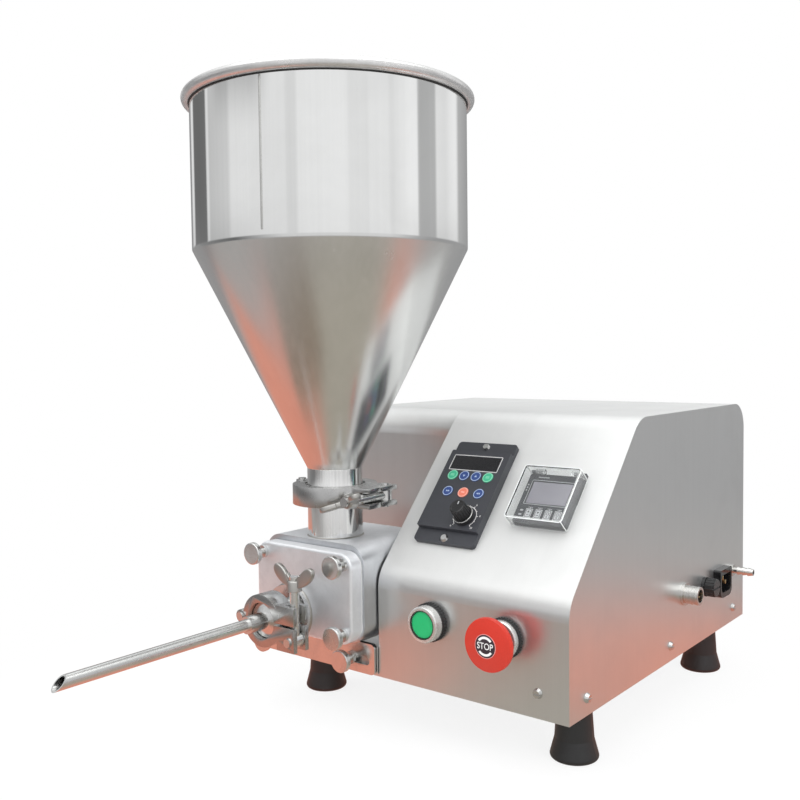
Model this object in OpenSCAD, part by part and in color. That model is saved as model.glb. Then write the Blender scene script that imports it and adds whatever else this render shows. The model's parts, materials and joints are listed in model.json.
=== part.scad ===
// Counter-top syrup filler: a steel hopper feeds a gear pump, which a geared motor
// in the cabinet drives, and the syrup leaves through a long nozzle.
// Drawn from the lower front right corner of the cabinet: X to the right, Y to the back, Z up.

/* [Cabinet] */
// Width of the cabinet
cab_w = 312; // [304:1:340]
// Depth of the cabinet
cab_d = 365; // [350:1:400]
// Height of the cabinet without its feet
cab_h = 216; // [208:1:240]
// Height of the upright part of the front
front_h = 86; // [80:1:92]
// How far back the sloping panel runs
slope_run = 119; // [114:1:128]
// Width of the bay that the pump stands in
bay_w = 134; // [128:1:146]
// Depth of the pump bay
bay_d = 119; // [112:1:126]
// Thickness of the folded sheet
sheet = 1.5; // [1:0.1:2]
// Outside radius of the bend between front and slope
front_bend_r = 28; // [15:1:34]
// Outside radius of the bend between slope and top
top_bend_r = 30; // [15:1:34]
// Outside radius of the bend at the top of the back
rear_bend_r = 25; // [10:1:32]
// Outside radius of the bend above the bay
bay_bend_r = 24; // [8:1:30]
// Thickness of the base tray
tray_t = 2; // [1.5:0.1:3]
// Height of the tray's upturned lips
lip_h = 24; // [22:1:26]

/* [Feet] */
// Height of a foot
foot_h = 46; // [36:1:56]
// Diameter of a foot where it stands
foot_base_d = 40; // [34:1:46]
// Diameter of a foot at its top
foot_top_d = 27; // [22:1:30]
// Distance of a foot from the side
foot_inset_x = 24; // [23:1:34]
// Distance of a foot from the front and back
foot_inset_y = 52; // [44:1:64]

/* [Hopper] */
// Outside diameter of the hopper's cylinder
hopper_d = 236; // [200:1:250]
// Height of the cylinder
hopper_cyl_h = 126; // [90:1:160]
// Height of the cone
hopper_cone_h = 187; // [150:1:220]
// Thickness of the hopper's wall
hopper_wall = 1.5; // [1:0.1:2.5]
// Radius of the rolled rim
rim_r = 4.5; // [3:0.1:6]
// Outside diameter of the neck
neck_d = 48; // [44:1:52]
// Length of the plain neck above the clamp
neck_h = 14; // [10:1:30]
// Distance of the neck's axis behind the cabinet's front
neck_y = 12; // [8:1:16]

/* [Pump] */
// Width of the pump body
pump_w = 113.5; // [108:0.5:118]
// Height of the pump body
pump_h = 82; // [80:1:90]
// Height of the pump body's underside above the cabinet's underside
pump_z = 30; // [28:1:34]
// How far the pump body stands out of the cabinet's front
pump_out = 16.5; // [14:0.5:19]
// How far the pump reaches back into its bay
pump_back = 70; // [64:1:76]
// Radius of the pump body's long edges
pump_edge_r = 16; // [10:1:18]
// Thickness of the front cover
cover_t = 12.5; // [10:0.5:16]
// How far the cover stays inside the body's outline
cover_inset = 1.5; // [1:0.5:3]
// How much lower the cover's top is than the body's
cover_drop = 4.5; // [2:0.5:6]
// Thickness of the cover's seal
seal_t = 1.5; // [1:0.1:2]
// Number of teeth on each gear
gear_teeth = 12; // [12:12:12]
// Module of the gears
gear_module = 3; // [2.8:0.1:3.1]
// Width of the gears
gear_w = 41; // [30:0.5:44]
// Diameter of the pump shafts
shaft_d = 14; // [10:0.5:16]

/* [Clamps and nozzle] */
// Diameter of the ferrules at the hopper
hopper_ferrule_d = 64; // [60:1:70]
// Diameter of the ferrules at the outlet
outlet_ferrule_d = 34; // [32:1:40]
// Outside diameter of the outlet tube
outlet_d = 25; // [22:1:27]
// Height of the clamp rings
clamp_h = 17; // [16:0.5:20]
// Free thread between lug and wing nut
nut_gap = 12; // [11:0.5:14]
// Distance of the outlet clamp in front of the cover
outlet_reach = 26.5; // [26:0.5:32]
// Outside diameter of the nozzle tube
nozzle_d = 10; // [8:0.5:14]
// Bore of the nozzle tube
nozzle_bore = 8; // [6:0.5:8.5]
// Length of the nozzle tube beyond its hub
nozzle_len = 173; // [80:1:220]

/* [Controls] */
// Diameter of the push buttons' bezels
bezel_d = 29; // [27:0.5:32]
// Diameter of the start button's cap
start_d = 21.6; // [18:0.1:22.6]
// Diameter of the stop button's head
stop_d = 40.5; // [34:0.5:44]
// Travel of the start button
start_travel = 4; // [2:0.5:4.5]
// Travel of the stop button
stop_travel = 5; // [3:0.5:5.5]
// Width of the speed unit's face
speed_w = 60; // [56:0.5:64]
// Length of the speed unit's face
speed_h = 103; // [100:0.5:108]
// Diameter of the speed unit's keys
key_d = 9.8; // [8:0.1:10.8]
// Diameter of the speed knob's skirt
knob_d = 17; // [13:0.5:18]
// Side of the counter's square bezel
counter_side = 46; // [45:0.5:50]
// Wall of the counter's clear cover
clear_wall = 1.5; // [1:0.1:2]

/* [Hidden] */
$fn = 64;
slip = 0.05;           // radial clearance of a running fit
loose = 0.3;           // clearance between pieces that only pass each other
eps = 1;               // how far a cut runs past what it cuts
bend_swell = 0.003;

desk_w = cab_w - bay_w;                         // width of the section with the sloping panel
slope_a = atan2(cab_h - front_h, slope_run);    // angle of the sloping panel

// Places along the pump, from its back to the nozzle's tip
pump_gap = 1.5;
pump_x = -desk_w - pump_gap - pump_w / 2;
pump_top = pump_z + pump_h;
pump_front = -pump_out;
seal_front = pump_front - seal_t;
cover_front = seal_front - cover_t;
outlet_y = cover_front - outlet_reach;
cover_w = pump_w - 2 * cover_inset;
cover_low = pump_z + cover_inset;
cover_h = pump_h - cover_inset - cover_drop;
cover_z = cover_low + cover_h / 2;
cover_r = 13;
cover_fillet = 2.5;
screw_dx = cover_w / 2 - 9;                     // thumb screws of the cover, from its middle
screw_dz = cover_h / 2 - 9;
outlet_x = pump_x - 14;
outlet_z = pump_z + 20;
outlet_bore = outlet_d - 4;

gear_r = gear_module * gear_teeth / 2;
gear_tip = gear_r + 0.75 * gear_module;
gear_root = gear_r - 1.1 * gear_module;
gear_backlash = 0.45;
gear_z = pump_z + 44;
chamber_r = gear_tip + loose;
chamber_d = gear_w + 2 * loose;
chamber_back = pump_front + chamber_d;
drive_x = pump_x + gear_r;
driven_x = pump_x - gear_r;
shaft_front = pump_front + loose;
shaft_bore = shaft_d + 2 * slip;

// Clamp joint of two ferrules, in its own frame: ring axis Z, hinge at -X, bolt at +X along Y
gasket_t = 1.6;
ferrule_rim = 2.8;     // thickness of a ferrule at its rim
ferrule_rise = 0.35;   // rise of its back per millimetre towards the tube
neck_wall = 1.5;
clamp_wall = 5;        // ring outside the ferrule
clamp_split = 2;       // gap between the halves
lug_len = 15;
pin_d = 5;
knuckle_r = 5.5;
bolt_d = 8;
bolt_out = 9;          // bolt axis outside the ring
eye_r = 6;
eye_t = 8.6;
eye_y = 13;
nut_hub_r = 6.5;
nut_hub_h = 9;
wing_root = 4.5;
wing_x = 15.5;
wing_y = 16;
wing_r = 6;
wing_t = 6;
hopper_nut_turn = -22;  // how the hopper clamp's wing nut happens to stand
clamp_z = pump_top + 37;
ferrule_back = ferrule_rim + gasket_t / 2;
hopper_ring_r = hopper_ferrule_d / 2 + clamp_wall;
outlet_ring_r = outlet_ferrule_d / 2 + clamp_wall;

neck_top = clamp_z + clamp_h / 2 + neck_h;
cone_top = neck_top + hopper_cone_h;
hopper_top = cone_top + hopper_cyl_h;
rim_ring_r = hopper_d / 2 + rim_r / 2;

// Nozzle
hub_r = 7.2;
hub_len = 25;
hub_end = outlet_y - hub_len;
nozzle_tip = hub_end - nozzle_len;

// Pump bracket and its thumb screws
bracket_t = 4;
bracket_h = pump_z - 3;
bracket_low = 1;
slot_w = 7;
slot_len = 17;
slot_z = 12;
bracket_screw_right = 28;   // bracket screws, from the bay's right wall
bracket_screw_left = 123;
bracket_screws = [-desk_w - bracket_screw_right, -desk_w - bracket_screw_left];
bracket_end = 2;       // bracket's right end inside the bay
shelf_t = 3;
thumb_d = 19;
thumb_t = 5;
thumb_stem = 10.5;
thumb_shank_d = 6;
thumb_grip = 14;        // how far a cover screw goes into the body
collar_d = 11;
collar_t = 3;

// Motor behind the bay
motor_plate_t = 5;
motor_y = bay_d + sheet + 4 + motor_plate_t;
gearbox_side = 90;
gearbox_len = 48;
motor_d = 88;
motor_len = 120;
motor_socket = 24;
coupling_d = 32;
coupling_len = 30;
bracket_foot = 60;

// Front panel
start_share = 0.691;   // places across the desk, as shares of its width from the right
stop_share = 0.3045;
start_x = -start_share * desk_w;
start_z = 56;
stop_x = -stop_share * desk_w;
stop_z = 55.5;
gasket_h = 2;
bezel_h = 11;
stop_bezel_h = 6.5;
barrel_d = 22;
barrel_len = 18;
cap_t = 5;
cap_sunk = 1;
button_stem_d = 8;
stop_stem_d = 14;
stop_tip_d = 10;
stop_gap = stop_travel + 0.5;
stop_head_h = 13;
stop_back_d = 31;
stop_flare_h = 6;
block_side = 30;
block_len = 30;
block_y = 14;

// Sloping panel, as distances right of the cabinet's edge and up the slope
speed_share = 0.7146;
speed_u = -speed_share * desk_w;
speed_v = 87.3;
speed_tab = 12;
speed_tab_t = 4;
speed_face_t = 8;
speed_body_w = 50;
speed_body_h = 76;
speed_body_len = 52;
speed_screw_dv = 46.8;
key_depth = 3.2;
key_t = 2.8;
key_proud = 0.5;
key_rows = [[13.1, [-17.7, -5.8, 6.1, 18]], [-3.6, [-15, 0.6, 16.2]]];
window_u = -0.2;
window_v = 26.6;
window_w = 46.5;
window_h = 13.6;
window_t = 1.2;
knob_u = 13.4;
knob_v = -27;
knob_h = 15;
pot_d = 6;
counter_share = 0.2753;
counter_u = -counter_share * desk_w;
counter_v = 87;
counter_t = 5;
counter_body = 44;
counter_body_len = 62;
counter_keys = [-11, -2.4, 6.2, 14.8];
counter_key_w = 5.8;
counter_key_h = 8.4;
counter_key_v = -15;
counter_window = [36, 21.5];
counter_window_v = 5.2;
clear_side = counter_side + 5;
clear_h = 14.5;
clear_lift = 0.9;
hinge_v = clear_side / 2 + 1.5;
hinge_z = 3.2;
hinge_d = 2;
hinge_knuckle_r = 2.4;
hinge_knuckle_len = 8;
hinge_u = 16;
hinge_post = 4;
hinge_post_r = 1.3;
hinge_post_t = 2.2;

// Right side
screw_rows = [27, cab_d / 2 - 1.5, cab_d - 30];
screw_z = 13.5;
screw_d = 4;
screw_head_d = 8;
screw_head_t = 2.6;
front_screw = [-26, 19];
socket_y = cab_d - 154;
socket_z = 53;
socket_d = 16;
socket_out = 15;
socket_bore_d = 11.5;
socket_bore_len = 9;
fuse_y = cab_d - 106;
fuse_z = 50;
fuse_d = 13;
fuse_cap_d = 17;
fuse_cap_len = 9;
fuse_collar = 3;
inlet_y = cab_d - 67;
inlet_z = 47;
inlet_w = 30;
inlet_h = 27;
inlet_out = 7;
inlet_depth = 14;
cavity_w = 24.5;
cavity_h = 17;
barb_y = cab_d - 38;
barb_z = 53;
barb_len = 23;
barb_d = 8;
barb_bore = 3.5;
panel_nut_t = 3;

// The origin is under the middle of the whole machine, on the surface it stands on
mid_x = (pump_x - rim_ring_r - rim_r + barb_len) / 2;
mid_y = (nozzle_tip + cab_d) / 2;

// Outlines

function unit(v) = v / norm(v);
function half_angle(a, b, c) = acos(unit(a - b) * unit(c - b)) / 2;
function tangent_pair(a, b, c, r) = r == 0 ? [b] :
    let (d = r / tan(half_angle(a, b, c))) [b + unit(a - b) * d, b + unit(c - b) * d];
function arc_centre(a, b, c, r) = b + unit(unit(a - b) + unit(c - b)) * r / sin(half_angle(a, b, c));

// A convex outline whose corner i has the radius radii[i]. At a slanting corner the circle is larger by swell,
// so that it crosses the straight sides and doesn't only touch them.
module rounded_outline(points, radii, swell = 0) {
    n = len(points);
    function at(i) = points[(i + n) % n];
    function slanting(i) = abs(half_angle(at(i - 1), at(i), at(i + 1)) - 45) > 0.01;
    polygon([for (i = [0:n - 1]) each tangent_pair(at(i - 1), at(i), at(i + 1), radii[i])]);
    for (i = [0:n - 1])
        if (radii[i] > 0)
            translate(arc_centre(at(i - 1), at(i), at(i + 1), radii[i]))
                circle(radii[i] + (slanting(i) ? swell : 0));
}

// An upright slot with round ends, of height h over all
module slot(w, h) {
    square([w, h - w], center = true);
    for (s = [-1, 1])
        translate([0, s * (h - w) / 2]) circle(d = w);
}

module rounded_rect(w, h, r) {
    rounded_outline([[-w, -h] / 2, [w, -h] / 2, [w, h] / 2, [-w, h] / 2], [r, r, r, r]);
}

// A bar from p to q with round ends of two radii
module tapered_bar(p, q, rp, rq) {
    d = norm(q - p);
    a = atan2(q[1] - p[1], q[0] - p[0]);
    lean = acos((rp - rq) / d);
    function rim_point(c, r, s) = c + r * [cos(a + s * lean), sin(a + s * lean)];
    polygon([rim_point(p, rp, 1), rim_point(p, rp, -1), rim_point(q, rq, -1), rim_point(q, rq, 1)]);
    translate(p) circle(rp);
    translate(q) circle(rq);
}

// Frames

module placed() {
    translate([-mid_x, -mid_y, foot_h]) children();
}

// Local Z leaves the front panel, local Y is up
module on_front(x, z, y = 0) {
    translate([x, y, z]) rotate([90, 0, 0]) children();
}

// Local Z leaves the right side, local X runs to the back and local Y is up
module on_side(y, z) {
    translate([0, y, z]) rotate([90, 0, 90]) children();
}

// Local Z leaves the sloping panel, local Y runs up it
module on_slope(u, v) {
    translate([0, 0, front_h]) rotate([slope_a, 0, 0]) translate([u, v, 0]) children();
}

// A shape drawn as Y and Z, from x0 to x1
module across(x0, x1) {
    translate([x0, 0, 0]) rotate([90, 0, 90]) linear_extrude(x1 - x0) children();
}

// A plate whose front edge is filleted all round; its back lies on Z = 0
module pillow_plate(w, h, t, r, f) {
    module edge(span) {
        rounded_outline([[-span / 2, 0], [span / 2, 0], [span / 2, t], [-span / 2, t]], [0, 0, f, f]);
    }
    rotate([90, 0, 90]) translate([0, 0, -w / 2 + r]) linear_extrude(w - 2 * r) edge(h);
    rotate([90, 0, 0]) translate([0, 0, -h / 2 + r]) linear_extrude(h - 2 * r) edge(w);
    for (x = [-1, 1], y = [-1, 1])
        translate([x * (w / 2 - r), y * (h / 2 - r), 0])
            rotate_extrude() intersection() {
                edge(2 * r);
                translate([0, -eps]) square([r + eps, t + 2 * eps]);
            }
}

module ring(d_out, d_in, h) {
    difference() {
        cylinder(d = d_out, h = h);
        translate([0, 0, -eps]) cylinder(d = d_in, h = h + 2 * eps);
    }
}

// Cabinet

// Side view of the desk section, drawn in by t
module desk_profile(t, bottom) {
    low = front_h - t * tan((90 - slope_a) / 2);
    back = slope_run + t * tan(slope_a / 2);
    rounded_outline([[t, bottom], [t, low], [back, cab_h - t], [cab_d - t, cab_h - t], [cab_d - t, bottom]],
        [0, front_bend_r - t, top_bend_r - t, rear_bend_r - t, 0], bend_swell);
}

module bay_profile(t, bottom) {
    rounded_outline([[bay_d + t, bottom], [bay_d + t, cab_h - t], [cab_d - t, cab_h - t], [cab_d - t, bottom]],
        [0, bay_bend_r - t, rear_bend_r - t, 0]);
}

module tray_outline() {
    in = sheet + loose;
    translate([-cab_w + in, bay_d]) square([cab_w - 2 * in, cab_d - bay_d - in]);
    translate([-desk_w - eps, in]) square([desk_w + eps - in, bay_d]);
    translate([-cab_w, 0]) square([bay_w, bay_d + sheet / 2]);
}

module bracket_holes(d, y0, y1) {
    for (x = bracket_screws)
        on_front(x, slot_z, y1) cylinder(d = d, h = y1 - y0);
}

module foot_places() {
    for (x = [-cab_w + foot_inset_x, -foot_inset_x], y = [foot_inset_y, cab_d - foot_inset_y])
        translate([x, y, 0]) children();
}

// Children stand at each hood screw, with Z leaving the sheet
module hood_screw_places() {
    for (y = screw_rows) {
        on_side(y, screw_z) children();
        if (y > bay_d + screw_head_d)
            translate([-cab_w, y, screw_z]) rotate([90, 0, -90]) children();
    }
    on_front(front_screw[0], front_screw[1]) children();
}

vent_count = 9;
vent_w = 5;
vent_h = 46;
vent_pitch = 13;
module vents() {
    for (i = [0:vent_count - 1])
        translate([-desk_w / 2 + (i - (vent_count - 1) / 2) * vent_pitch, cab_d + eps, cab_h / 2])
            rotate([90, 0, 0]) linear_extrude(sheet + 2 * eps) slot(vent_w, vent_h);
}

module base_tray() {
    in = sheet + loose;
    color("silver") difference() {
        union() {
            linear_extrude(tray_t) tray_outline();
            translate([-in - tray_t, in, 0]) cube([tray_t, cab_d - 2 * in, lip_h]);
            translate([-cab_w + in, bay_d + in, 0]) cube([tray_t, cab_d - bay_d - 2 * in, lip_h]);
            translate([-cab_w + in, cab_d - in - tray_t, 0]) cube([cab_w - 2 * in, tray_t, lip_h]);
            translate([-desk_w + in, in, 0]) cube([desk_w - 2 * in, tray_t, lip_h]);
            translate([-cab_w, 0, 0]) cube([bay_w - pump_gap, tray_t, lip_h]);
        }
        foot_places() translate([0, 0, -eps]) cylinder(d = foot_bolt_d + 2 * loose, h = tray_t + 2 * eps);
        hood_screw_places() translate([0, 0, -in - tray_t - eps])
            cylinder(d = screw_d + 2 * slip, h = tray_t + in + eps);
        bracket_holes(thumb_shank_d + 2 * slip, -eps, tray_t + eps);
    }
}

module hood() {
    color("gainsboro") difference() {
        union() {
            across(-desk_w, 0) desk_profile(0, 0);
            across(-cab_w, -desk_w) bay_profile(0, 0);
        }
        across(-desk_w + sheet, -sheet) desk_profile(sheet, -eps);
        across(-cab_w + sheet, -desk_w - sheet) bay_profile(sheet, -eps);
        across(-desk_w - sheet - eps, -desk_w + sheet + eps) intersection() {
            desk_profile(sheet, -eps);
            bay_profile(sheet, -eps);
        }
        translate([0, 0, -eps]) linear_extrude(tray_t + eps) tray_outline();
        hood_screw_places() translate([0, 0, -sheet - eps])
            cylinder(d = screw_d + 2 * loose, h = sheet + 2 * eps);
        for (p = [[start_x, start_z], [stop_x, stop_z]])
            on_front(p[0], p[1], sheet + eps) cylinder(d = barrel_d + 2 * loose, h = sheet + 2 * eps);
        on_slope(speed_u, speed_v) translate([0, 0, -sheet - eps]) linear_extrude(sheet + 2 * eps)
            square([speed_body_w + 2 * loose, speed_body_h + 2 * loose], center = true);
        on_slope(counter_u, counter_v) translate([0, 0, -sheet - eps]) linear_extrude(sheet + 2 * eps)
            square(counter_body + 2 * loose, center = true);
        for (s = [[socket_y, socket_z, panel_thread_d], [fuse_y, fuse_z, panel_thread_d],
                  [barb_y, barb_z, barb_d]])
            on_side(s[0], s[1]) translate([0, 0, -sheet - eps])
                cylinder(d = s[2] + 2 * loose, h = sheet + 2 * eps);
        on_side(inlet_y, inlet_z) translate([0, 0, -sheet - eps]) linear_extrude(sheet + 2 * eps)
            square([cavity_w + 2 * clear_wall + 2 * loose, cavity_h + 2 * clear_wall + 2 * loose], center = true);
        translate([drive_x, bay_d + sheet + eps, gear_z]) rotate([90, 0, 0])
            cylinder(d = shaft_bore + 8, h = sheet + 2 * eps);
        vents();
    }
}

// Feet

foot_bolt_d = 6;
foot_hole_d = 14;
foot_hole_h = 22;
foot_edge_r = 3;
foot_waist_z = 0.36 * foot_h;
foot_waist_r = foot_top_d / 2 + 2;
foot_lean = 2 / (foot_h - foot_waist_z);   // widening of the upper cone per millimetre down

module feet() {
    base_r = foot_base_d / 2;
    color([0.08, 0.08, 0.09]) foot_places() translate([0, 0, -foot_h]) difference() {
        rotate_extrude() intersection() {
            union() {
                rounded_outline([[-base_r, 0], [base_r, 0], [foot_waist_r, foot_waist_z],
                    [-foot_waist_r, foot_waist_z]],
                    [foot_edge_r, foot_edge_r, 0, 0]);
                polygon([[0, foot_waist_z - 1], [foot_waist_r + foot_lean, foot_waist_z - 1],
                    [foot_top_d / 2, foot_h], [0, foot_h]]);
            }
            translate([0, -eps]) square([base_r + eps, foot_h + 2 * eps]);
        }
        translate([0, 0, -eps]) cylinder(d = foot_hole_d, h = foot_hole_h + eps);
        cylinder(d = foot_bolt_d + 2 * loose, h = foot_h + eps);
    }
}

module foot_bolts() {
    head_t = 4;
    nut_t = 5;
    color("silver") foot_places() {
        translate([0, 0, foot_hole_h - head_t - foot_h]) cylinder(d = 11.5, h = head_t);
        translate([0, 0, foot_hole_h - foot_h - eps])
            cylinder(d = foot_bolt_d, h = foot_h - foot_hole_h + tray_t + nut_t + 2 * eps);
        translate([0, 0, tray_t]) cylinder(d = 11, h = nut_t, $fn = 6);
    }
}

module panel_screws() {
    color("silver") {
        hood_screw_places() {
            difference() {
                cylinder(d1 = screw_head_d, d2 = screw_head_d * 0.7, h = screw_head_t);
                translate([0, 0, screw_head_t - 1]) linear_extrude(1 + eps)
                    square([screw_head_d, 1.2], center = true);
            }
            translate([0, 0, -8]) cylinder(d = screw_d, h = 8);
        }
        for (s = [-1, 1])
            on_slope(speed_u, speed_v + s * speed_screw_dv) translate([0, 0, speed_tab_t])
                cylinder(d1 = 7, d2 = 5, h = 2);
    }
}

// Drive

module gearmotor() {
    color([0.25, 0.27, 0.3]) translate([drive_x, motor_y, gear_z]) rotate([-90, 0, 0]) difference() {
        union() {
            linear_extrude(gearbox_len) rounded_rect(gearbox_side, gearbox_side, 6);
            translate([0, 0, gearbox_len]) cylinder(d = motor_d, h = motor_len);
            translate([0, 0, gearbox_len + motor_len]) cylinder(d = motor_d * 0.6, h = 8);
        }
        translate([0, 0, -eps]) cylinder(d = shaft_bore, h = motor_socket + eps);
    }
}

module motor_bracket() {
    half = gearbox_side / 2;
    color("gray") {
        translate([drive_x, motor_y, 0]) rotate([90, 0, 0]) linear_extrude(motor_plate_t) difference() {
            translate([-half, tray_t]) square([gearbox_side, gear_z + half - tray_t]);
            translate([0, gear_z]) circle(d = coupling_d + 8);
        }
        translate([drive_x - half, motor_y, tray_t]) cube([gearbox_side, bracket_foot, motor_plate_t]);
    }
}

// A solid on a line along Y, from y0 to y1
module along_y(x, z, y0, y1, d) {
    translate([x, y1, z]) rotate([90, 0, 0]) cylinder(d = d, h = y1 - y0);
}

module drive_shaft() {
    color("silver") along_y(drive_x, gear_z, shaft_front, motor_y + motor_socket - loose, shaft_d);
}

module shaft_coupling() {
    y0 = (pump_back + bay_d - coupling_len) / 2;
    color("dimgray") difference() {
        along_y(drive_x, gear_z, y0, y0 + coupling_len, coupling_d);
        along_y(drive_x, gear_z, y0 - eps, y0 + coupling_len + eps, shaft_bore);
    }
}

module driven_shaft() {
    color("silver") along_y(driven_x, gear_z, shaft_front, chamber_back + 18, shaft_d);
}

// Involute flank: polar angle and radius where the string leaves the base circle at angle t
function flank_angle(t) = t * 1 - atan(t * PI / 180);
function flank_t(r, base) = sqrt(max(0, (r / base) * (r / base) - 1)) * 180 / PI;
function polar(r, a) = [r * cos(a), r * sin(a)];

module gear_outline() {
    base = gear_r * cos(20);
    steps = 5;
    tooth = 360 / gear_teeth;
    half = tooth / 4 - gear_backlash / gear_r * 90 / PI + flank_angle(flank_t(gear_r, base));
    radii = [for (i = [0:steps]) base + (gear_tip - base) * i / steps];
    flank = [for (r = radii) [r, half - flank_angle(flank_t(r, base))]];
    polygon([for (k = [0:gear_teeth - 1]) let (a = k * tooth) each concat(
        [polar(gear_root, a - half)],
        [for (p = flank) polar(p[0], a - p[1])],
        [for (i = [steps:-1:0]) polar(flank[i][0], a + flank[i][1])],
        [polar(gear_root, a + half)])]);
}

module gear(x, turn) {
    translate([x, pump_front + loose + gear_w, gear_z]) rotate([90, 0, 0]) linear_extrude(gear_w) difference() {
        rotate(turn) gear_outline();
        circle(d = shaft_bore);
    }
}

module drive_gear() {
    color("tan") gear(drive_x, 0);
}

module driven_gear() {
    color("tan") gear(driven_x, 180 / gear_teeth);
}

// Pump

module cover_screw_places(y) {
    for (x = [-1, 1], z = [-1, 1])
        on_front(pump_x + x * screw_dx, cover_z + z * screw_dz, y) children();
}

module pump_body() {
    depth = pump_back - pump_front;
    color("lightsteelblue") difference() {
        translate([pump_x, pump_back, pump_z + pump_h / 2]) rotate([90, 0, 0])
            linear_extrude(depth) rounded_rect(pump_w, pump_h, pump_edge_r);
        for (x = [drive_x, driven_x])
            along_y(x, gear_z, pump_front - eps, chamber_back, 2 * chamber_r);
        along_y(drive_x, gear_z, pump_front, pump_back + eps, shaft_bore);
        along_y(driven_x, gear_z, pump_front, chamber_back + 18 + loose, shaft_bore);
        translate([pump_x, neck_y, gear_z + chamber_r / 3]) cylinder(d = neck_d - 12, h = pump_h);
        along_y(outlet_x, outlet_z, pump_front - eps, pump_front + 14, outlet_bore);
        cover_screw_places(pump_front + 16) cylinder(d = thumb_shank_d + 2 * slip, h = 16 + eps);
    }
}

module pump_seal() {
    edge = 1;
    color("white") translate([pump_x, pump_front, cover_z]) rotate([90, 0, 0]) linear_extrude(seal_t) difference() {
        rounded_rect(cover_w - 2 * edge, cover_h - 2 * edge, cover_r - edge);
        for (x = [-1, 1])
            translate([x * gear_r, gear_z - cover_z]) circle(chamber_r);
        translate([outlet_x - pump_x, outlet_z - cover_z]) circle(d = outlet_bore);
        for (x = [-1, 1], z = [-1, 1])
            translate([x * screw_dx, z * screw_dz]) circle(d = thumb_shank_d + 2 * loose);
    }
}

module pump_cover() {
    color("lightsteelblue") difference() {
        on_front(pump_x, cover_z, seal_front) pillow_plate(cover_w, cover_h, cover_t, cover_r, cover_fillet);
        along_y(outlet_x, outlet_z, cover_front - eps, seal_front + eps, outlet_bore);
        cover_screw_places(seal_front + eps) cylinder(d = thumb_shank_d + 2 * loose, h = cover_t + 2 * eps);
    }
}

// A flat-headed thumb screw that bears on Z = 0 and reaches down to Z = -reach
module thumb_screw(reach) {
    edge = 1;
    translate([0, 0, -reach]) cylinder(d = thumb_shank_d, h = reach + thumb_stem);
    cylinder(d = collar_d, h = collar_t);
    translate([0, 0, thumb_stem]) rotate_extrude() intersection() {
        rounded_outline([[-thumb_d, 0] / 2, [thumb_d, 0] / 2, [thumb_d / 2, thumb_t], [-thumb_d / 2, thumb_t]],
            [edge, edge, edge, edge]);
        translate([0, -eps]) square([thumb_d, thumb_t + 2 * eps]);
    }
}

module cover_screws() {
    color("silver") cover_screw_places(cover_front) thumb_screw(pump_front + thumb_grip - cover_front);
}

module pump_bracket() {
    left = -cab_w;
    right = -desk_w - bracket_end;
    corner = 4;
    color("silver") {
        rotate([90, 0, 0]) linear_extrude(bracket_t) difference() {
            rounded_outline([[left, bracket_low], [right, bracket_low], [right, bracket_h], [left, bracket_h]],
                [corner, corner, corner, corner]);
            for (x = bracket_screws)
                translate([x + slot_len / 2, slot_z]) rotate(90) slot(slot_w, slot_len + slot_w);
        }
        translate([pump_x - pump_w / 2 + pump_edge_r, -bracket_t, pump_z - shelf_t])
            cube([pump_w - 2 * pump_edge_r, bracket_t + pump_back, shelf_t]);
    }
}

module bracket_screws() {
    color("silver") for (x = bracket_screws)
        on_front(x, slot_z, -bracket_t) thumb_screw(bracket_t + tray_t + 6);
}

// Clamp joints

// Half section of one ferrule above the joint's middle, on a tube of outside radius tube_r
module ferrule_section(rim, tube_r, wall, top) {
    rise = (rim - tube_r) * ferrule_rise;
    polygon([[tube_r - wall, gasket_t / 2], [rim, gasket_t / 2], [rim, ferrule_back], [tube_r, ferrule_back + rise],
        [tube_r, top], [tube_r - wall, top]]);
}

module gasket(rim, bore_r) {
    translate([0, 0, -gasket_t / 2]) ring(2 * rim, 2 * bore_r, gasket_t);
}

// The whole ring, before it is split
module clamp_ring(rim, tube_r) {
    out = rim + clamp_wall;
    groove = rim + loose;
    lip = tube_r + 2.5;
    g0 = ferrule_back + loose;
    g1 = g0 + (groove - lip) * ferrule_rise;
    h = clamp_h / 2;
    rotate_extrude() polygon([[out, -h], [out, h], [lip, h], [lip, g1], [groove, g0], [groove, -g0], [lip, -g1],
        [lip, -h]]);
}

function bolt_x(rim) = rim + clamp_wall + bolt_out;
function hinge_x(rim) = -(rim + clamp_wall + 3);

module knuckles(rim, z_ranges, grow) {
    for (z = z_ranges)
        translate([hinge_x(rim), 0, z[0]]) cylinder(r = knuckle_r + grow, h = z[1] - z[0]);
}

knuckle_half = 3;
function mid_knuckle() = [[-knuckle_half + slip, knuckle_half - slip]];
function end_knuckles() = [[-clamp_h / 2, -knuckle_half], [knuckle_half, clamp_h / 2]];
function knuckle_room(ranges, by) = [for (z = ranges) [z[0] - by, z[1] + by]];

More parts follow.
